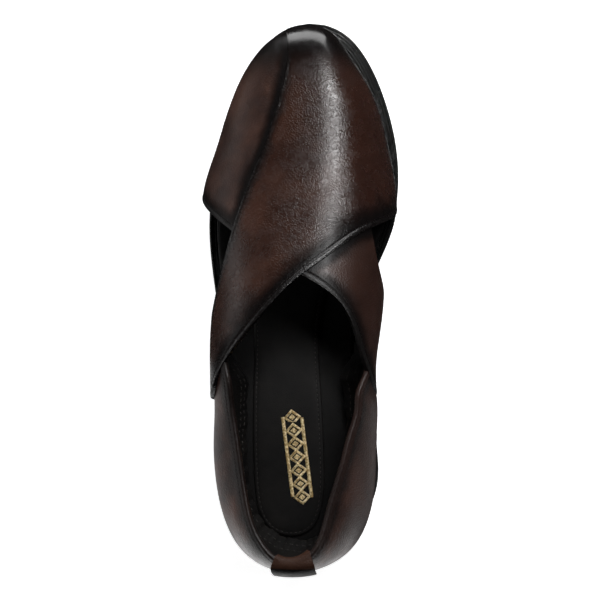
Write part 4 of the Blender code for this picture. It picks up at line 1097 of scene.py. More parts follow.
BROWN_THREAD = waxed_thread("brown waxed thread", "#261b17")
# The black thread's grey is painted light: it stands in for light on its seams, most of all inside the shoe, where
# little light reaches.
BLACK_THREAD_WITH_PAINTED_LIGHT = waxed_thread("black waxed thread with painted light", "#4a4744")


def seam(name, paths, slot, thread, pitch=2.2, length=1.6, width=0.42):
    """A row of stitches along lines in a thread; its slot is not used."""
    sizes = {"Pitch": pitch * MM, "Length": length * MM, "Thread": width * MM}
    return onto_shoe(run_tree(line_object(name, paths), STITCHES, **sizes, Material=thread), slot)


print("threads:", BROWN_THREAD.name, BLACK_THREAD_WITH_PAINTED_LIGHT.name)

# %% Seams on the straps


def rear_line(grid, away, distance, lift):
    """The line on a grid that runs at a distance from its rear border, lifted off the surface."""
    normal, line = grid_normals(grid), []
    lift = np.broadcast_to(lift, grid.shape[:2])
    for row, (reach, up) in enumerate(zip(away, lift)):
        near = reach[::-1][: len(reach) // 2]
        place = np.interp(distance, np.maximum.accumulate(near), np.arange(len(near)))
        column = len(reach) - 1 - place
        at = [np.interp(column, np.arange(len(reach)), axis) for axis in (*grid[row].T, *normal[row].T, up)]
        line.append(np.array(at[:3]) + np.array(at[3:6]) * at[6])
    return np.array(line)


SEAM_IN = 3.1                # from the cut edge in to the row of stitches
over_seam = rear_line(over_grid, over_away[REAR], SEAM_IN, STRAP_LIFT + over_relief)[2:-2]
under_seam = rear_line(under_grid, under_away[REAR], SEAM_IN, climb + under_relief)[2:-2]
seam("strap_seams", [over_seam, under_seam], "upper_leather", BROWN_THREAD, 1.9, 1.35, 0.30)

# %% [markdown]
# ## Padded lining
# Inside, a padded black lining runs from the collar down to the sock, thicker towards the foot so that
# it coves into the sole, and it lies in small folds where it was pushed into the corner. It could be
# inflated by a cloth simulation, but it is glued to the quarter all over, so a second shell inside the
# first, with the pad and the folds as its thickness, keeps it where it belongs.

# %% Lining of the quarter
PAD_ROWS = [          # share of the rib, pad on the lateral side, at the heel and on the medial side
    (0.00, 11.0, 8.0, 13.5),
    (0.10, 10.8, 7.4, 12.0),
    (0.25, 10.2, 6.2, 9.0),
    (0.45, 8.4, 4.4, 5.6),
    (0.70, 4.0, 2.0, 2.6),
    (0.93, 0.4, 0.4, 0.4),
]
PAD_PLACES = (0.18, 0.5, 0.8)                # where round the quarter those columns hold
LINING_SPAN, LINING_RISE = (0.075, 0.933), (0.075, 0.935)        # shares round and up the quarter
LINING_FACE = -LEATHER - 0.15                # the lining's outer face, just inside the quarter
SOCK_CLEARANCE = 3.2                         # the pad's foot above the top of the sole
lining_round, lining_tall = np.meshgrid(np.linspace(*LINING_SPAN, 240), np.linspace(*LINING_RISE, 40))
lining_grid = quarter_at(lining_round, lining_tall)
shares = np.array([np.interp(lining_round, PAD_PLACES, column) for column in np.eye(3)])
pad = (by_first(PAD_ROWS)(lining_tall) * shares.transpose(1, 2, 0)).sum(-1)
low_part = eased(1 - lining_tall / 0.6)
folds = 0.5 * np.sin(2 * np.pi * lining_round * 23 + 2.2 * np.sin(lining_round * 19)) * low_part
folds += 0.25 * np.sin(2 * np.pi * lining_round * 61 + 1.1) * low_part**2
ends = eased((lining_round - LINING_SPAN[0]) / 0.05) * eased((LINING_SPAN[1] - lining_round) / 0.05)
inside = LINING_FACE - (pad + folds) * (0.25 + 0.75 * ends)
leathers = [LINING_LEATHER, LINING_LEATHER]
lining = shell("quarter_lining", lining_grid, inside, LINING_FACE, SOCK_CLEARANCE, leathers, feet=(), roll=0.4)
onto_shoe(lining, "sock")
proud = lining_grid + grid_normals(lining_grid) * (inside[..., None] - 0.05)
seam("lining_seams", [proud[row][6:-6] for row in (4, 9)], "sock", BLACK_THREAD_WITH_PAINTED_LIGHT, 3.4, 2.2, 0.45)

# %% [markdown]
# ## Sole layers
# Outsole, welt and insole are moulded or cut to one outline. The outline could be extruded and its side
# carved, but each is simply a stack of rings: the outline moved in by a distance at a height. Many thin
# rings give the steps, ribs and grooves of the side.

# %% Rings
RING_COUNT = 130             # points up one side of a ring


def capped(levels, count, hollow=False, length=None):
    """Faces of a stack of rings, lowest first, closed across at both ends or round a hole."""
    length = length or 2 * count - 2
    faces = band_faces(levels, length, closed=hollow)
    for level, order in () if hollow else ((0, 1), (levels - 1, -1)):
        base = level * length
        for i in range(count - 1):
            quad = [base + i, base + i + 1, base + length - i - 1, base + (length - i) % length]
            faces.append(list(dict.fromkeys(quad))[::order])
    return faces


def layered(name, layers, materials, hollow=False, count=RING_COUNT, smooth=32):
    """A sole layer from rows of (inset, height function), lowest first."""
    rings = []
    for inset, height in layers:
        plan = ring(inset, count)
        rings.append(np.column_stack([plan, height(plan[:, 1])]))
    return piece(name, np.concatenate(rings), capped(len(rings), count, hollow), materials, smooth)


def raised(base, rise):
    """A height function above another one."""
    return lambda y: base(y) + rise


def between(low, high, share):
    """A height function at a share of the way between two others."""
    return lambda y: low(y) + (high(y) - low(y)) * share


print("a ring has", len(ring(0.0, RING_COUNT)), "points")

# %% [markdown]
# ## Rubber
# Sole, heel and welt are black rubber from a steel mould. The mould's polish decides the shine: the welt
# comes from polished steel and is glossy, the side of the sole is satin, and the tread is stippled so
# that it grips. One recipe serves all of them, with a faint grey bloom that rubber gets with age.

# %% Rubbers


def moulded_rubber(name, colour, dusty, roughness, grain=0.35, depth=0.05, gloss=0.4):
    """Near black rubber with a bloom, its shine clouded a little, and a stipple of a size and depth in mm."""
    made, tree, shader = new_material(name)
    stipple = {"Height": specks(tree, grain, 2.0), "Distance": depth * MM}
    feed(shader, {
        "Base Color": mottled(tree, colour, dusty, 14.0, 0.45, 0.75, detail=5.0),
        "Roughness": clouds(tree, 7.0, 0.3, 0.7, roughness - 0.06, roughness + 0.08),
        "Specular IOR Level": gloss,
        "Normal": add(tree, "ShaderNodeBump", stipple).outputs["Normal"],
    })
    return made


SOLE_RUBBER = moulded_rubber("moulded sole rubber", "#121211", "#181716", 0.36)
TREAD_RUBBER = moulded_rubber("stippled tread rubber", "#121211", "#1a1918", 0.40, 0.9, 0.22)
WELT_RUBBER = moulded_rubber("ribbed welt rubber", "#0e0f0e", "#161413", 0.21, 0.35, 0.012, 0.5)
print("rubbers:", SOLE_RUBBER.name, WELT_RUBBER.name)

# %% [markdown]
# ## Outsole
# The side of the outsole is stepped where the mould closes, and its bottom has a flat rim with a groove
# of false stitches, as on a sole that is sewn on. The steps are rings at shares of the height, and the
# stitches are the seam tree once more, with long thick stitches.

# %% Outsole
WELT_HEIGHT = 3.0


def welt_base(y):
    return sole_top(y) - WELT_HEIGHT


outsole_top = raised(welt_base, -GAP)
RIM_ROWS = [   # in from the edge, up from the underside: the flat rim with its groove
    (9.0, 0.8), (5.9, 0.8), (5.6, 0.6), (5.5, 0.1), (5.35, 0.0), (5.0, 0.0), (4.85, 0.15), (4.7, 0.7),
    (3.9, 0.7), (3.75, 0.15), (3.6, 0.0), (1.9, 0.0), (1.5, 0.08),
]
SIDE_ROWS = [  # in from the edge, share of the height: the stepped side
    (0.9, 0.06), (0.5, 0.15), (0.28, 0.34), (0.2, 0.50), (0.32, 0.53), (0.8, 0.57), (0.9, 0.60),
    (0.9, 0.66), (0.8, 0.69), (0.15, 0.75), (0.0, 0.78), (0.0, 0.96), (0.15, 1.0),
]
outsole_layers = [(inset, raised(underside, rise)) for inset, rise in RIM_ROWS]
outsole_layers += [(inset, between(underside, outsole_top, share)) for inset, share in SIDE_ROWS]
outsole = layered("outsole_body", outsole_layers, [SOLE_RUBBER], smooth=50)
GROOVE_IN, GROOVE_START = 4.3, 66.0          # from the sole's edge, and from the heel
groove = ring(GROOVE_IN, 260)
groove = np.roll(groove, -int(np.argmin(groove[:, 1])), axis=0)
groove = groove[groove[:, 1] > GROOVE_START]
groove = np.column_stack([groove, underside(groove[:, 1]) + 0.55])
seam("sole_seam", [groove], "sole_rubber", BLACK_THREAD_WITH_PAINTED_LIGHT, 4.6, 3.4, 0.6)

# %% [markdown]
# ## Tread
# The forepart has a rim of blocks, a pod of slanted bars in the middle and a ridge like a roof behind
# them. The grooves could be cut out of a thick sole with booleans, but separate lugs are cleaner: each is
# a prism between the tread and the underside, with its edges eased by a small bevel, because rubber
# never comes out of a mould with a knife edge.

# %% Tread blocks
BLOCK_ROWS = {
    # side: along the way, the outer and inner y of each groove
    LATERAL: [(102, 116), (124, 130), (140, 143.5), (154, 155.5), (167, 166.5), (179.5, 177),
              (191.5, 188), (203, 198), (212.5, 206), (223, 214), (232.5, 220.5)],
    MEDIAL: [(112, 121), (130, 133), (142.5, 144.5), (156.5, 158), (169.5, 169.5), (183, 181),
             (195.5, 192), (207, 201.5), (218, 210), (230, 217.5)],
}
BLOCK_RIM = 6.2              # from the sole's edge to the blocks
GROOVE = 2.2                 # width of the grooves between lugs
POD_POINTS = [(-24.0, 117.0), (-28.4, 136.0), (-29.2, 153.0), (-27.2, 170.0), (-22.8, 188.0), (-14.8, 206.0),
              (3.0, 223.5), (12.6, 217.0), (18.2, 203.0), (21.6, 187.5), (23.8, 172.0), (23.2, 158.0),
              (19.6, 144.0), (9.0, 127.0)]
POD_BARS = [
    [(-13.5, 194.5), (-8.5, 206.5), (1.5, 219.5), (5.0, 219.0), (-9.0, 199.0)],
    [(-11.5, 192.0), (6.8, 215.5), (10.2, 206.5), (-4.8, 186.0)],
    [(-5.2, 181.5), (11.8, 202.6), (15.4, 194.6), (0.8, 174.4)],
    [(1.6, 171.6), (16.2, 189.2), (18.8, 181.2), (5.2, 167.4)],
    [(6.2, 164.0), (19.4, 177.6), (20.6, 164.6), (6.2, 150.6), (1.0, 156.0)],
    [(-14.8, 191.6), (-7.8, 181.4), (-19.4, 167.4), (-21.6, 173.4)],
    [(-6.2, 179.2), (-0.6, 171.4), (-11.4, 157.6), (-17.8, 166.6)],
    [(0.6, 169.4), (3.6, 164.4), (-6.0, 154.6), (-9.4, 156.8)],
    [(-23.6, 168.4), (-20.4, 164.6), (-25.8, 157.4)],
    [(-19.0, 162.2), (-13.2, 154.8), (-25.8, 139.4), (-26.2, 150.6)],
    [(-11.4, 152.8), (-8.6, 149.6), (-24.2, 128.8), (-25.6, 134.6)],
    [(-4.4, 152.4), (0.2, 148.8), (-5.8, 141.8), (-8.2, 144.6)],
    [(20.4, 160.4), (18.8, 149.4), (10.6, 131.2), (1.0, 138.6)],
]
TOE_LUGS = [
    [(-12.6, 235.0), (-6.2, 238.4), (-2.4, 227.4), (-4.6, 223.0)],
    [(-3.4, 239.6), (9.4, 239.6), (5.4, 227.6), (0.4, 227.6)],
    [(11.8, 238.6), (19.8, 233.4), (10.4, 219.8), (7.2, 226.6)],
]
CHEVRON = [(-36.0, 99.4), (-22.6, 120.0), (-9.4, 140.0), (4.6, 122.0), (18.8, 104.0)]
CHEVRON_WIDTH = 2.4
print(len(POD_BARS), "bars in the pod")

# %% Tools for lugs


def offset_line(path, distance):
    """A line of points moved to the left of its run by a distance."""
    return path + to_left(np.gradient(np.array(path, float), axis=0)) * distance


def pod_x(side, y):
    """x of the teardrop channel round the middle of the forepart."""
    pod = np.array(POD_POINTS)
    tip = int(np.argmax(pod[:, 1]))
    run = pod[: tip + 1] if side == LATERAL else pod[tip:][::-1]
    return np.interp(y, run[:, 1], run[:, 0])


def rim_blocks():
    """Plan outlines of the rim of blocks on both sides."""
    outlines = []
    for side, rows in BLOCK_ROWS.items():
        edge = inset_edge(side, BLOCK_RIM)
        for (outer_low, inner_low), (outer_high, inner_high) in zip(rows, rows[1:]):
            y = np.linspace(outer_low + GROOVE / 2, outer_high - GROOVE / 2, 4)
            outer = np.stack([x_at(edge, y), y], -1)
            y = np.array([inner_high - GROOVE / 2, inner_low + GROOVE / 2])
            outlines.append(np.concatenate([outer, np.stack([pod_x(side, y) + side * GROOVE, y], -1)]))
    return outlines


def lugs(name, outlines, low, high, material, ease=0.35):
    """Prisms with plan outlines between two height functions, as one object with eased edges."""
    points, faces, start = [], [], 0
    for outline in outlines:
        plan, count = np.array(outline, float), len(outline)
        points += [np.column_stack([plan, low(plan[:, 1])]), np.column_stack([plan, high(plan[:, 1])])]
        faces += [[start + i for i in reversed(range(count))], [start + count + i for i in range(count)]]
        faces += (np.array(band_faces(2, count)) + start).tolist()
        start += 2 * count
    made = piece(name, np.concatenate(points), faces, [material])
    return finished(rolled_edges(made, ease, sharp=50), 35)


def strip(path, near, far):
    """The outline of a strip between two distances to the left of a line."""
    return np.concatenate([offset_line(path, near), offset_line(path, far)[::-1]])


print(len(rim_blocks()), "blocks in the rim")

# %% Lugs of the forepart and lines of the waist
WAIST_EDGES = [
    [(-36.0, 99.4), (-31.5, 82.0), (-27.0, 62.0), (-24.5, 45.5)],
    [(18.8, 104.0), (15.0, 86.0), (12.0, 66.0), (10.5, 49.0)],
]
BLANK_PLATE = [(-14.0, 51.5), (6.0, 53.0), (6.0, 66.0), (-14.0, 64.5)]
LUG_ROOT = raised(underside, 1.2)            # lugs start inside the sole, so that no gap shows
lug_outlines = [*rim_blocks(), *TOE_LUGS, *POD_BARS, strip(CHEVRON, 0, -CHEVRON_WIDTH)]
tread_lugs = lugs("outsole_lugs", lug_outlines, tread, LUG_ROOT, TREAD_RUBBER)
waist_outlines = [*(strip(edge, -0.6, 0.6) for edge in WAIST_EDGES), BLANK_PLATE]
waist_lines = lugs("waist_lines", waist_outlines, raised(underside, -0.6), LUG_ROOT, SOLE_RUBBER)
for part in (outsole, tread_lugs, waist_lines):
    onto_shoe(part, "sole_rubber", "outsole")

# %% [markdown]
# ## Heel
# The heel is a rubber block under a waisted stack, cut off nearly square at its front face, the breast.
# Its own blocks stand round a middle panel. It could be cut out of the sole, but on the real shoe it is a
# piece of its own, so it gets its own rings, which end at the breast.

# %% Heel block
HEEL_BREAST, BREAST_SKEW = 43.0, 0.12        # y of the heel's front face, and how it runs forward inwards
LUG_HEIGHT = 2.5
HEEL_SIDE = [  # inset, share of the height
    (2.0, 0.0), (1.4, 0.01), (0.8, 0.05), (0.62, 0.10), (0.8, 0.20), (1.0, 0.30), (1.3, 0.44), (1.5, 0.60),
    (1.55, 0.74), (1.5, 0.84), (1.35, 0.87), (1.05, 0.895), (1.0, 0.93), (1.0, 0.985), (1.4, 1.0),
]


def heel_ring(inset, height, count):
    """A ring of the heel: up the lateral side from the heel end, across the breast and back."""
    sides = []
    for side in (LATERAL, MEDIAL):
        curve = inset_edge(side, inset)
        breast = HEEL_BREAST
        for _ in range(4):                   # closes in on where the skewed breast meets the side
            breast = HEEL_BREAST + BREAST_SKEW * x_at(curve, breast)
        turn = np.linspace(0, math.pi / 2, count)
        y = curve[0, 1] + (breast - curve[0, 1]) * (0.6 * (1 - np.cos(turn)) + 0.4 * turn / turn[-1])
        sides.append(np.stack([x_at(curve, y), y], -1))
    plan = np.concatenate([sides[0], sides[1][:0:-1]])
    return np.column_stack([plan, height(plan[:, 1])])


def heel_block(count=50):
    low, top = lambda y: 0 * y + LUG_HEIGHT, raised(underside, -GAP)
    rings = [heel_ring(inset, between(low, top, share), count) for inset, share in HEEL_SIDE]
    faces = capped(len(rings), count, length=len(rings[0]))
    return piece("heel_block", np.concatenate(rings), faces, [SOLE_RUBBER], 30)


heel = heel_block()
onto_shoe(heel, "heel_rubber", "heel")

# %% Lugs of the heel
HEEL_GROOVES = np.array([
    # outer_x, outer_y, inner_x, inner_y: from the edge in to the panel, lateral side first
    (-42.5, 38.9, -27.0, 40.5), (-40.5, 17.4, -26.0, 23.5), (-38.0, 1.8, -23.4, 8.4), (-32.8, -12.6, -20.2, -4.6),
    (-24.3, -26.3, -16.4, -16.3), (-13.1, -36.0, -11.8, -26.0), (-0.6, -38.6, -2.6, -24.0), (12.0, -35.6, 6.0, -17.4),
    (23.6, -29.0, 14.4, -10.8), (33.0, -18.0, 22.4, -4.6), (37.0, -3.0, 28.6, 2.4), (37.4, 13.6, 27.2, 14.2),
    (36.0, 29.5, 21.6, 33.0), (33.4, 46.4, 17.6, 44.4),
])
HEEL_PANEL_BARS = [
    [(-22.0, 32.0), (-18.2, 34.0), (-9.4, -12.0), (-12.0, -16.4)],
    [(-14.8, 35.2), (-10.6, 36.8), (-4.2, 6.2), (2.4, 2.4), (1.0, -2.4), (-6.8, -2.4)],
    [(-6.6, 38.2), (-0.4, 39.6), (10.6, 16.6), (2.2, 8.4)],
    [(4.6, 40.2), (8.0, 40.8), (15.0, 24.6), (12.4, 21.4)],
    [(-7.0, -14.0), (-5.0, -8.6), (19.4, 9.4), (23.0, 6.2)],
]
HEEL_CENTRE = np.array([0.0, 6.0])
FRAME_RIDGE = (1.5, 2.7)                     # from the ends of the grooves in to both sides of a thin frame


def heel_outlines():
    """Plan outlines of the blocks, the panel's bars and the frame round them."""
    outlines = []
    for low, high in zip(HEEL_GROOVES, HEEL_GROOVES[1:]):
        outer, inner = np.array([low[:2], high[:2]]), np.array([low[2:], high[2:]])
        for pair in (outer, inner):
            along = pair[1] - pair[0]
            along *= (GROOVE / 2) / np.linalg.norm(along)
            pair[0] += along
            pair[1] -= along
        middle = outer.mean(0)
        bulge = middle + (middle - HEEL_CENTRE) / np.linalg.norm(middle - HEEL_CENTRE) * 0.9
        rim = [HEEL_CENTRE + (c - HEEL_CENTRE) * 0.985 for c in (outer[0], bulge, outer[1])]
        outlines.append(np.array([*rim, inner[1], inner[0]]))
    return outlines + HEEL_PANEL_BARS + [strip(HEEL_GROOVES[:, 2:], *FRAME_RIDGE)]


heel_root = lambda y: 0 * y + LUG_HEIGHT + 0.8
heel_tread = lugs("heel_lugs", heel_outlines(), lambda y: 0 * y, heel_root, TREAD_RUBBER, 0.4)
onto_shoe(heel_tread, "heel_rubber", "heel")

# %% [markdown]
# ## Welt
# The welt is the strip between upper and outsole. Its top has fine ridges that run round the shoe, which
# show in the open sides of the sandal. Ridges in the shader alone would be lost in the exported mesh, so
# each is six rings of its own.

# %% Welt
WELT_WIDTH = 12.0                            # most of it is hidden under the upper
WELT_SIDE = [(WELT_WIDTH, 0.0), (0.8, 0.0), (0.5, 0.12), (0.3, 0.30), (0.05, 0.42), (0.0, 0.55), (0.03, 0.75)]
RIDGE_START, RIDGE_PITCH, RIDGE_DEPTH, RIDGES = 0.45, 1.5, 0.45, 5
RIDGE_SHAPE = [(0.0, 0.10), (0.25, 0.0), (0.55, 0.0), (0.8, 0.12), (1.0, 1.0), (1.2, 1.0)]


def welt_layers():
    layers = [(inset, between(welt_base, sole_top, share)) for inset, share in WELT_SIDE]
    layers.append((0.2, raised(sole_top, -0.3)))
    for ridge in range(RIDGES):
        start = RIDGE_START + ridge * RIDGE_PITCH
        layers += [(start + along, raised(sole_top, -RIDGE_DEPTH * drop)) for along, drop in RIDGE_SHAPE]
    end = RIDGE_START + RIDGES * RIDGE_PITCH
    return layers + [(inset, raised(sole_top, -0.1)) for inset in (end, WELT_WIDTH)]


welt = layered("welt_strip", welt_layers(), [WELT_RUBBER], hollow=True, smooth=60)
onto_shoe(welt, "welt_rubber", "welt")

# %% [markdown]
# ## Insole and sock
# The insole board is covered with thin black leather that reaches to the upper all round, and a stitched
# sock lies on it, padded so that its edge is round. Both could be one block, but the shadow line between
# them is what the eye sees, so the cover is a stack of rings and the sock a crowned pad of its own.

# %% Insole cover
COVER_STEPS = [  # in from the foot of the upper, up from the top of the sole
    (1.1, 0.0), (0.9, 0.2), (0.9, 1.5), (1.05, 1.9), (1.4, 2.25), (2.0, 2.5), (2.8, 2.6), (6.5, 2.65), (14.0, 2.7),
]


def insole_inset(trim):
    """From the sole's edge in to the insole, which lies inside the foot of the upper."""
    def on(side):
        foot = feather_distance(side)
        return lambda y: foot(y) + LEATHER + trim + 1.6 * eased((y - 226.0) / 12.0)
    return {side: on(side) for side in (LATERAL, MEDIAL)}


cover_layers = [(insole_inset(trim), raised(sole_top, GAP + rise)) for trim, rise in COVER_STEPS]
COVE_LEATHER = black_lining("black insole cover", "#080707", "#0c0b0a")
insole = layered("insole_cover", cover_layers, [COVE_LEATHER], smooth=60)
onto_shoe(insole, "sock", "insole")

# %% Sock pad
SOCK_EDGE = [         # place along the shoe, outer edge, inner edge; it narrows beside the arch
    (230.0, -8.0, 6.0),
    (222.0, -20.0, 18.0),
    (200.0, -31.0, 26.0),
    (160.0, -35.5, 28.0),
    (125.0, -31.5, 18.0),
    (100.0, -30.0, 10.0),
    (80.0, -28.8, 7.6),
    (62.0, -28.3, 8.2),
    (45.0, -28.2, 9.6),
    (25.0, -28.0, 11.0),
    (8.0, -27.6, 11.6),
    (-8.0, -26.6, 11.4),
    (-20.0, -24.0, 9.2),
    (-27.0, -19.5, 5.5),
    (-30.5, -14.0, 0.5),
]
SOCK_FRONT = (-1.0, 231.5)
SOCK_STEPS = [  # in from the edge, up from the top of the sole, with a stitched channel at 2.1 mm
    (0.0, 2.6), (0.0, 3.3), (0.25, 3.75), (0.8, 4.1), (1.7, 4.25), (2.1, 4.12), (2.5, 4.28), (4.0, 4.5), (8.0, 4.6),
]
sock_rows = np.array(SOCK_EDGE)
sock_loop = np.concatenate([[SOCK_FRONT], sock_rows[:, [1, 0]], sock_rows[::-1, [2, 0]], [SOCK_FRONT]])
sock_edge = through(sock_loop, 221)[:-1]
sock_inward = to_left(np.roll(sock_edge, -1, axis=0) - np.roll(sock_edge, 1, axis=0))


def sock_line(inset, rise):
    """A line round the sock pad, in from its edge and up from the top of the sole."""
    plan = sock_edge + sock_inward * inset
    return np.column_stack([plan, sole_top(plan[:, 1]) + rise])


SOCK_LEATHER = black_lining("black sock leather", "#0d0c0c")
sock_rings = [sock_line(*step) for step in SOCK_STEPS]
sock_faces = capped(len(sock_rings), len(sock_edge) // 2 + 1)
sock = piece("sock_pad", np.concatenate(sock_rings), sock_faces, [SOCK_LEATHER], 60)
onto_shoe(sock, "sock")
seam("sock_seam", [sock_line(2.1, 4.15)[20:-20]], "sock", BLACK_THREAD_WITH_PAINTED_LIGHT, 2.6, 1.5, 0.4)

# %% [markdown]
# ## Gold ornament
# The sock carries a stamped band in gold foil: open lozenges with a small one in each, between two
# lines. A stamp repeats its motif at an even pitch, so a node tree sets it out along a short line. Foil
# is printed, so it stands only a hair above the leather and is worn where the heel rubs it.

# %% Ornament tree


def scaled(tree, geometry, x, y, z):
    """Geometry in a tree, scaled along its axes."""
    size = add(tree, "ShaderNodeCombineXYZ", {"X": x, "Y": y, "Z": z}).outputs["Vector"]
    return add(tree, "GeometryNodeTransform", {"Geometry": geometry, "Scale": size}).outputs["Geometry"]


def joined(tree, parts):
    """Several geometries in a tree as one."""
    whole = add(tree, "GeometryNodeJoinGeometry")
    for part in parts:
        tree.links.new(part, whole.inputs["Geometry"])
    return whole.outputs["Geometry"]


def ornament_tree():
    half, foil = {"Half Width": 4.0 * MM, "Half Length": 3.4 * MM}, {"Stroke": 1.9 * MM, "Foil": 0.15 * MM}
    tree, given = open_tree("lozenges between lines", {"Count": 7, "Turn": 0.0, **half, **foil})
    line = add(tree, "GeometryNodeMeshToCurve", {"Mesh": given["Geometry"]}).outputs["Curve"]
    section = {"Width": given["Stroke"], "Height": given["Foil"]}
    section = add(tree, "GeometryNodeCurvePrimitiveQuadrilateral", section).outputs["Curve"]
    sides = []
    for share in (1.3, -1.3):                # the two lines stand a little outside the lozenges
        aside = {0: given["Half Width"], 1: share}
        aside = add(tree, "ShaderNodeMath", aside, operation="MULTIPLY").outputs["Value"]
        move = add(tree, "ShaderNodeCombineXYZ", {"X": aside}).outputs["Vector"]
        moved = add(tree, "GeometryNodeTransform", {"Geometry": line, "Translation": move}).outputs["Geometry"]
        stroke = {"Curve": moved, "Profile Curve": section, "Fill Caps": True}
        sides.append(add(tree, "GeometryNodeCurveToMesh", stroke).outputs["Mesh"])
    corners = add(tree, "GeometryNodeMeshCircle", {"Vertices": 4, "Radius": 1.0}).outputs["Mesh"]
    corners = scaled(tree, corners, given["Half Width"], given["Half Length"], 1.0)
    outline = add(tree, "GeometryNodeMeshToCurve", {"Mesh": corners}).outputs["Curve"]
    lozenge = add(tree, "GeometryNodeCurveToMesh", {"Curve": outline, "Profile Curve": section}).outputs["Mesh"]
    heart = add(tree, "GeometryNodeMeshCylinder", {"Vertices": 4, "Radius": 0.48, "Depth": 1.0}).outputs["Mesh"]
    heart = scaled(tree, heart, given["Half Width"], given["Half Length"], given["Foil"])
    spacing = {"Curve": line, "Count": given["Count"]}
    points = add(tree, "GeometryNodeCurveToPoints", spacing, mode="COUNT").outputs["Points"]
    turn = add(tree, "ShaderNodeCombineXYZ", {"Z": given["Turn"]}).outputs["Vector"]
    turn = add(tree, "FunctionNodeEulerToRotation", {"Euler": turn}).outputs["Rotation"]
    rows = {"Points": points, "Instance": joined(tree, [lozenge, heart]), "Rotation": turn}
    rows = add(tree, "GeometryNodeInstanceOnPoints", rows).outputs["Instances"]
    return close_tree(tree, joined(tree, [rows, *sides]), given["Material"])


def gold_foil():
    """Pigment foil pressed on with a hot stamp: a pale satin gold, grained and worn, but no mirror."""
    made, tree, shader = new_material("stamped gold foil")
    feed(shader, {
        "Base Color": mottled(tree, "#b8975c", "#ffe9b4", 1.1, 0.40, 0.60),
        "Specular IOR Level": 1.0,
        "Roughness": 0.5,
    })
    return made


ORNAMENT = ornament_tree()
print(ORNAMENT.name, len(ORNAMENT.nodes), "nodes")

# %% Gold ornament
ORNAMENT_MIDDLE, ORNAMENT_LEAN = (-3.2, 11.4), math.radians(7.5)
ORNAMENT_HALF = 21.75                        # from the middle to the first and the last lozenge
ORNAMENT_RISE = SOCK_STEPS[-1][1] + 0.1      # just above the sock
half_line = np.array([math.sin(ORNAMENT_LEAN), -math.cos(ORNAMENT_LEAN)]) * ORNAMENT_HALF
band = np.linspace(ORNAMENT_MIDDLE - half_line, ORNAMENT_MIDDLE + half_line, 30)
band = np.column_stack([band, sole_top(band[:, 1]) + ORNAMENT_RISE])
stamp = {"Count": 7, "Turn": ORNAMENT_LEAN, "Material": gold_foil()}
onto_shoe(run_tree(line_object("gold_ornament", [band]), ORNAMENT, **stamp), "sock")

# %% [markdown]
# ## Collar binding
# A narrow strip of thin leather is folded over the collar, where quarter and lining meet, and sewn down.
# A bevelled curve would twist as it follows the collar. Here the profile of the fold is drawn once,
# across the collar, and set up again at each place on the way round, so it always sits square.

# %% Strips folded over the collar
COLLAR_SHARES = np.linspace(0.4, 1, 80)      # the upper part of the quarter's wall, foot to collar


def banded(name, outlines, materials, closed=False, smooth=40):
    """A solid from a row of closed outlines with equally many points."""
    length, rows = len(outlines[0]), len(outlines)
    faces = [] if closed else [list(range(length)), list(range((rows - 1) * length, rows * length))[::-1]]
    faces += band_faces(rows, length, closed)
    return piece(name, np.concatenate(outlines), faces, materials, smooth)


def strip_loop(run, count, thick):
    """The closed outline of a strip of some thickness that runs along a smooth line."""
    return strip(through(run, count), thick / 2, -thick / 2)


def folded_over(place, loop):
    """A closed loop of (rise, out) about the collar's edge, at a place round the quarter for each height."""
    place = np.broadcast_to(place, COLLAR_SHARES.shape)
    wall, beside = quarter_at(place, COLLAR_SHARES), quarter_at(place + 1e-3, COLLAR_SHARES)
    up = unit(np.gradient(wall, axis=0))
    out = unit(np.cross(up, beside - wall))
    out *= np.sign(out[0] @ (wall[0] - (0, 0, wall[0, 2])))
    below = run_of(wall) - run_of(wall)[-1]
    columns = (*wall.T, *up.T, *out.T)
    at = np.array([[np.interp(min(rise, 0), below, column) for column in columns] for rise, _ in loop])
    return at[:, :3] + at[:, 3:6] * np.maximum(loop[:, :1], 0) + at[:, 6:] * loop[:, 1:]


print("the collar is %.0f mm round" % run_of(quarter_at(np.linspace(*QUARTER_SPAN, 200), np.ones(200)))[-1])

# %% Binding and its seam
BINDING_FOLD = [(-3.4, 0.30), (-1.6, 0.30), (-0.2, 0.24), (0.42, -0.35), (0.50, -1.0), (0.42, -1.65), (-0.2, -2.24),
                (-2.4, -2.32), (-4.6, -2.32)]
BINDING_THICK = 0.5
BINDING_SEAM = np.array([[-2.7, 0.58], [-3.9, -2.6]])            # (rise, out) of its outer and inner stitches
binding_loop = strip_loop(BINDING_FOLD, 30, BINDING_THICK)
binding_outlines = [folded_over(place, binding_loop) for place in np.linspace(0.069, 0.939, 220)]
BINDING_CALF = burnished_calf("collar binding calf", {}, "#1f1411", "#120c0b", dull=0.42, gloss=0.3)
onto_shoe(banded("collar_binding", binding_outlines, [BINDING_CALF]), "upper_leather")
collar_lines = np.array([folded_over(place, BINDING_SEAM) for place in np.linspace(0.075, 0.932, 200)])
seam("collar_seam", list(collar_lines.transpose(1, 0, 2)), "upper_leather", BROWN_THREAD, 1.9, 1.3, 0.26)

# %% [markdown]
# ## Bead along the foot of the upper
# Where the upper turns under on to the welt, a thin glossy bead of rubber covers the joint. It is a round
# cord that is glued down, so a round section follows the foot of the upper a little outside it.

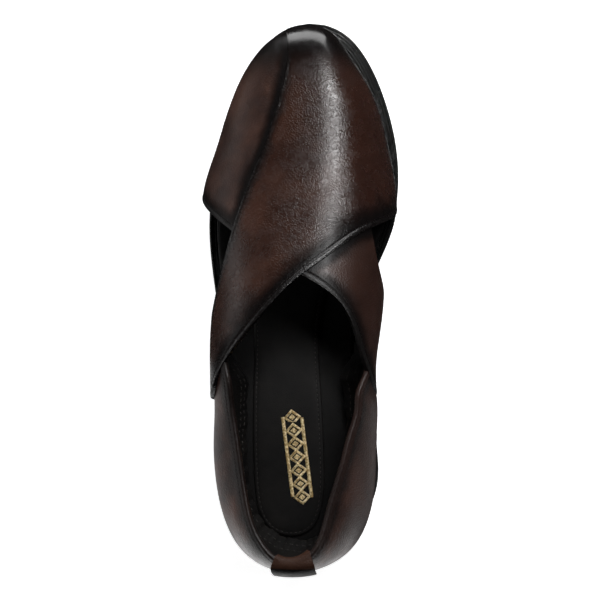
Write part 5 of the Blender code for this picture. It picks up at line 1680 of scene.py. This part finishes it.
# %% Foot bead
BEAD_START, BEAD_OUT, BEAD_RADIUS, BEAD_SIDES = 46.0, 1.65, 0.5, 10
foot = np.concatenate([FEATHER[LATERAL], FEATHER[MEDIAL][-2::-1]])
foot = offset_line(spread(foot[foot[:, 1] > BEAD_START], np.linspace(0, 1, 260)), BEAD_OUT)
away = offset_line(foot, 1.0) - foot
bead_lines = []
for angle in np.linspace(0, 2 * math.pi, BEAD_SIDES, endpoint=False):
    out, rise = BEAD_RADIUS * math.cos(angle), BEAD_RADIUS * math.sin(angle)
    bead_lines.append(np.column_stack([foot + away * out, sole_top(foot[:, 1]) + GAP + rise]))
BEAD_RUBBER = moulded_rubber("glossy bead rubber", "#0a0a0a", "#12100f", 0.24, 0.35, 0.004, 0.9)
onto_shoe(banded("foot_bead", list(np.stack(bead_lines, 1)), [BEAD_RUBBER]), "welt_rubber")

# %% [markdown]
# ## Heel tab
# A wider strip is folded over the back of the collar, as a pull and as a guard against rubbing. It is made
# as the binding is, but it is thick leather that doesn't bend as sharply as the heel, so its flap keeps
# half of its flatness. The spray that blackened the collar's edge caught the part of it behind the fold.

# %% Heel tab
TAB_MIDDLE, TAB_HALF = 0.515, 9.5            # share of the way round, and half its width
TAB_FOLD = [(-3.8, -3.4), (-2.0, -3.4), (-0.2, -3.4), (1.1, -2.6), (1.7, -1.0), (1.4, 1.0), (0.0, 2.6),
            (-4.0, 3.4), (-9.0, 2.9), (-14.0, 1.5)]
TAB_THICK, TAB_STIFFNESS = 1.6, 0.5
TAB_BLACK = -38.0                            # y behind which the spray has blackened it


def around_at(across):
    """Places round the quarter that are a distance across from the tab's middle, for each height."""
    near = [np.full(COLLAR_SHARES.shape, TAB_MIDDLE + reach) for reach in (-0.05, 0.05)]
    left, right = (quarter_at(place, COLLAR_SHARES) for place in near)
    return TAB_MIDDLE + across * 0.1 / np.linalg.norm(right - left, axis=1)


def tab_outlines(count=60):
    loop = strip_loop(TAB_FOLD, 50, TAB_THICK)
    outlines = [folded_over(around_at(across), loop) for across in np.linspace(-TAB_HALF, TAB_HALF, count)]
    back = outlines[count // 2][:, 1]
    flap = np.clip(loop[:, 1], 0, 1)
    for outline in outlines:
        outline[:, 1] += TAB_STIFFNESS * flap * (back - outline[:, 1])
    return outlines


TAB_LEATHER = burnished_calf("tab calf", {}, "#38241b", "#241713", behind=TAB_BLACK, dull=0.44, gloss=0.1)
tab = rolled_edges(banded("tab_fold", tab_outlines(), [TAB_LEATHER]), 0.4)
onto_shoe(finished(tab, 50), "tab_leather", "heel_tab")

# %% [markdown]
# ## Buckle
# A small wire buckle closes the over strap low on the outer side. Frame and prong are nickel plated
# steel wire; the strap end comes from under the front bar and lies over the rear bar. All three lie on
# a curved wall, so each is drawn flat, as y and a distance out, and then set against that wall.

# %% Buckle sizes and tools
BUCKLE_Z, BUCKLE_BARS, BUCKLE_HALF = 34.0, (53.4, 62.0), 6.2
WIRE, PRONG = 0.65, 0.55     # radius of the frame's wire and of the prong
BAR_OUT = (0.95, 2.25)
STRAP_RUN = [(76.0, 0.85), (68.0, 0.85), (61.5, 0.85), (58.2, 1.4), (55.8, 2.15), (53.4, 2.4), (51.2, 2.1),
             (49.2, 1.3), (46.2, 0.9)]
STRAP_THICK, STRAP_HALF = 0.9, 4.7
PRONG_RUN = [(56.6, 3.15), (58.4, 3.0), (60.2, 3.35), (61.6, 3.7), (63.0, 3.65), (64.2, 3.1)]


def side_wall(y, z, out):
    """A point outside the over strap's lateral end, at a height and a distance out from its face."""
    line = section_point(LATERAL, np.linspace(0.5, 1, 80), np.full(80, float(y)))[::-1]
    return np.array([np.interp(z, line[:, 2], line[:, 0]) - STRAP_LIFT - out, y, z])


def wire(name, path, radius, materials, closed=False, around=16):
    """A round wire along a path of points, with radii that may change along it."""
    path = np.array(path)
    along = unit(np.roll(path, -1, axis=0) - np.roll(path, 1, axis=0) if closed else np.gradient(path, axis=0))
    side = unit(np.cross(along, (-1.0, 0.0, 0.0)))
    out = np.cross(side, along)
    turn = np.linspace(0, 2 * math.pi, around, endpoint=False)[None, :, None]
    sized = np.reshape(radius, (-1, 1, 1)) if np.ndim(radius) else radius
    rings = path[:, None] + sized * (np.cos(turn) * side[:, None] + np.sin(turn) * out[:, None])
    return banded(name, list(rings), materials, closed)


def plated_steel():
    """Nickel plated steel: a clear and slightly warm mirror, dulled in spots by handling."""
    made, tree, shader = new_material("nickel plated steel")
    wear = {"Height": specks(tree, 0.8), "Distance": 0.01 * MM}
    feed(shader, {
        "Base Color": linear("#d9d6d0"),
        "Metallic": 1.0,
        "Roughness": clouds(tree, 2.5, 0.3, 0.7, 0.14, 0.28, detail=4.0),
        "Normal": add(tree, "ShaderNodeBump", wear).outputs["Normal"],
    })
    return made


print("buckle window %.1f mm long" % (BUCKLE_BARS[1] - BUCKLE_BARS[0] - 2 * WIRE))

# %% Strap end
STRAP_CALF = burnished_calf("buckle strap calf", {}, "#432a20", "#2f1d17")
strap_loop_points = strip_loop(STRAP_RUN, 70, STRAP_THICK)
strap_heights = BUCKLE_Z + STRAP_HALF * np.linspace(-1, 1, 13)
strap_outlines = [np.array([side_wall(y, z, out) for y, out in strap_loop_points]) for z in strap_heights]
buckle_strap = rolled_edges(banded("strap_end", strap_outlines, [STRAP_CALF]), 0.3)
onto_shoe(finished(buckle_strap, 50), "strap_leather", "buckle_strap")

# %% Wire frame and prong
NICKEL = plated_steel()
FRAME_CORNER = 2.4           # bend radius of the frame's corners
rear_bar, front_bar = BUCKLE_BARS
front, rear, reach = front_bar - FRAME_CORNER, rear_bar + FRAME_CORNER, BUCKLE_HALF - FRAME_CORNER
frame_path = []
for quarter_turn, (y, z) in enumerate([(front, reach), (rear, reach), (rear, -reach), (front, -reach)]):
    for turn in np.radians(90 * quarter_turn + np.linspace(0, 90, 9)):
        at_y, at_z = y + FRAME_CORNER * math.cos(turn), z + FRAME_CORNER * math.sin(turn)
        lean = BAR_OUT[0] + (BAR_OUT[1] - BAR_OUT[0]) * (at_y - rear_bar) / (front_bar - rear_bar)
        frame_path.append(side_wall(at_y, BUCKLE_Z + at_z, lean))
buckle_frame = wire("wire_frame", frame_path, WIRE, [NICKEL], closed=True)
onto_shoe(buckle_frame, "buckle_steel", "buckle_frame")

prong_path = [side_wall(y, BUCKLE_Z, out) for y, out in through(PRONG_RUN, 24)]
prong_radii = PRONG * np.minimum(1, 0.25 + 3.2 * np.linspace(1, 0, 24)) ** 0.5
prong = wire("prong_pin", prong_path, prong_radii, [NICKEL])
onto_shoe(prong, "prong_steel", "buckle_prong")
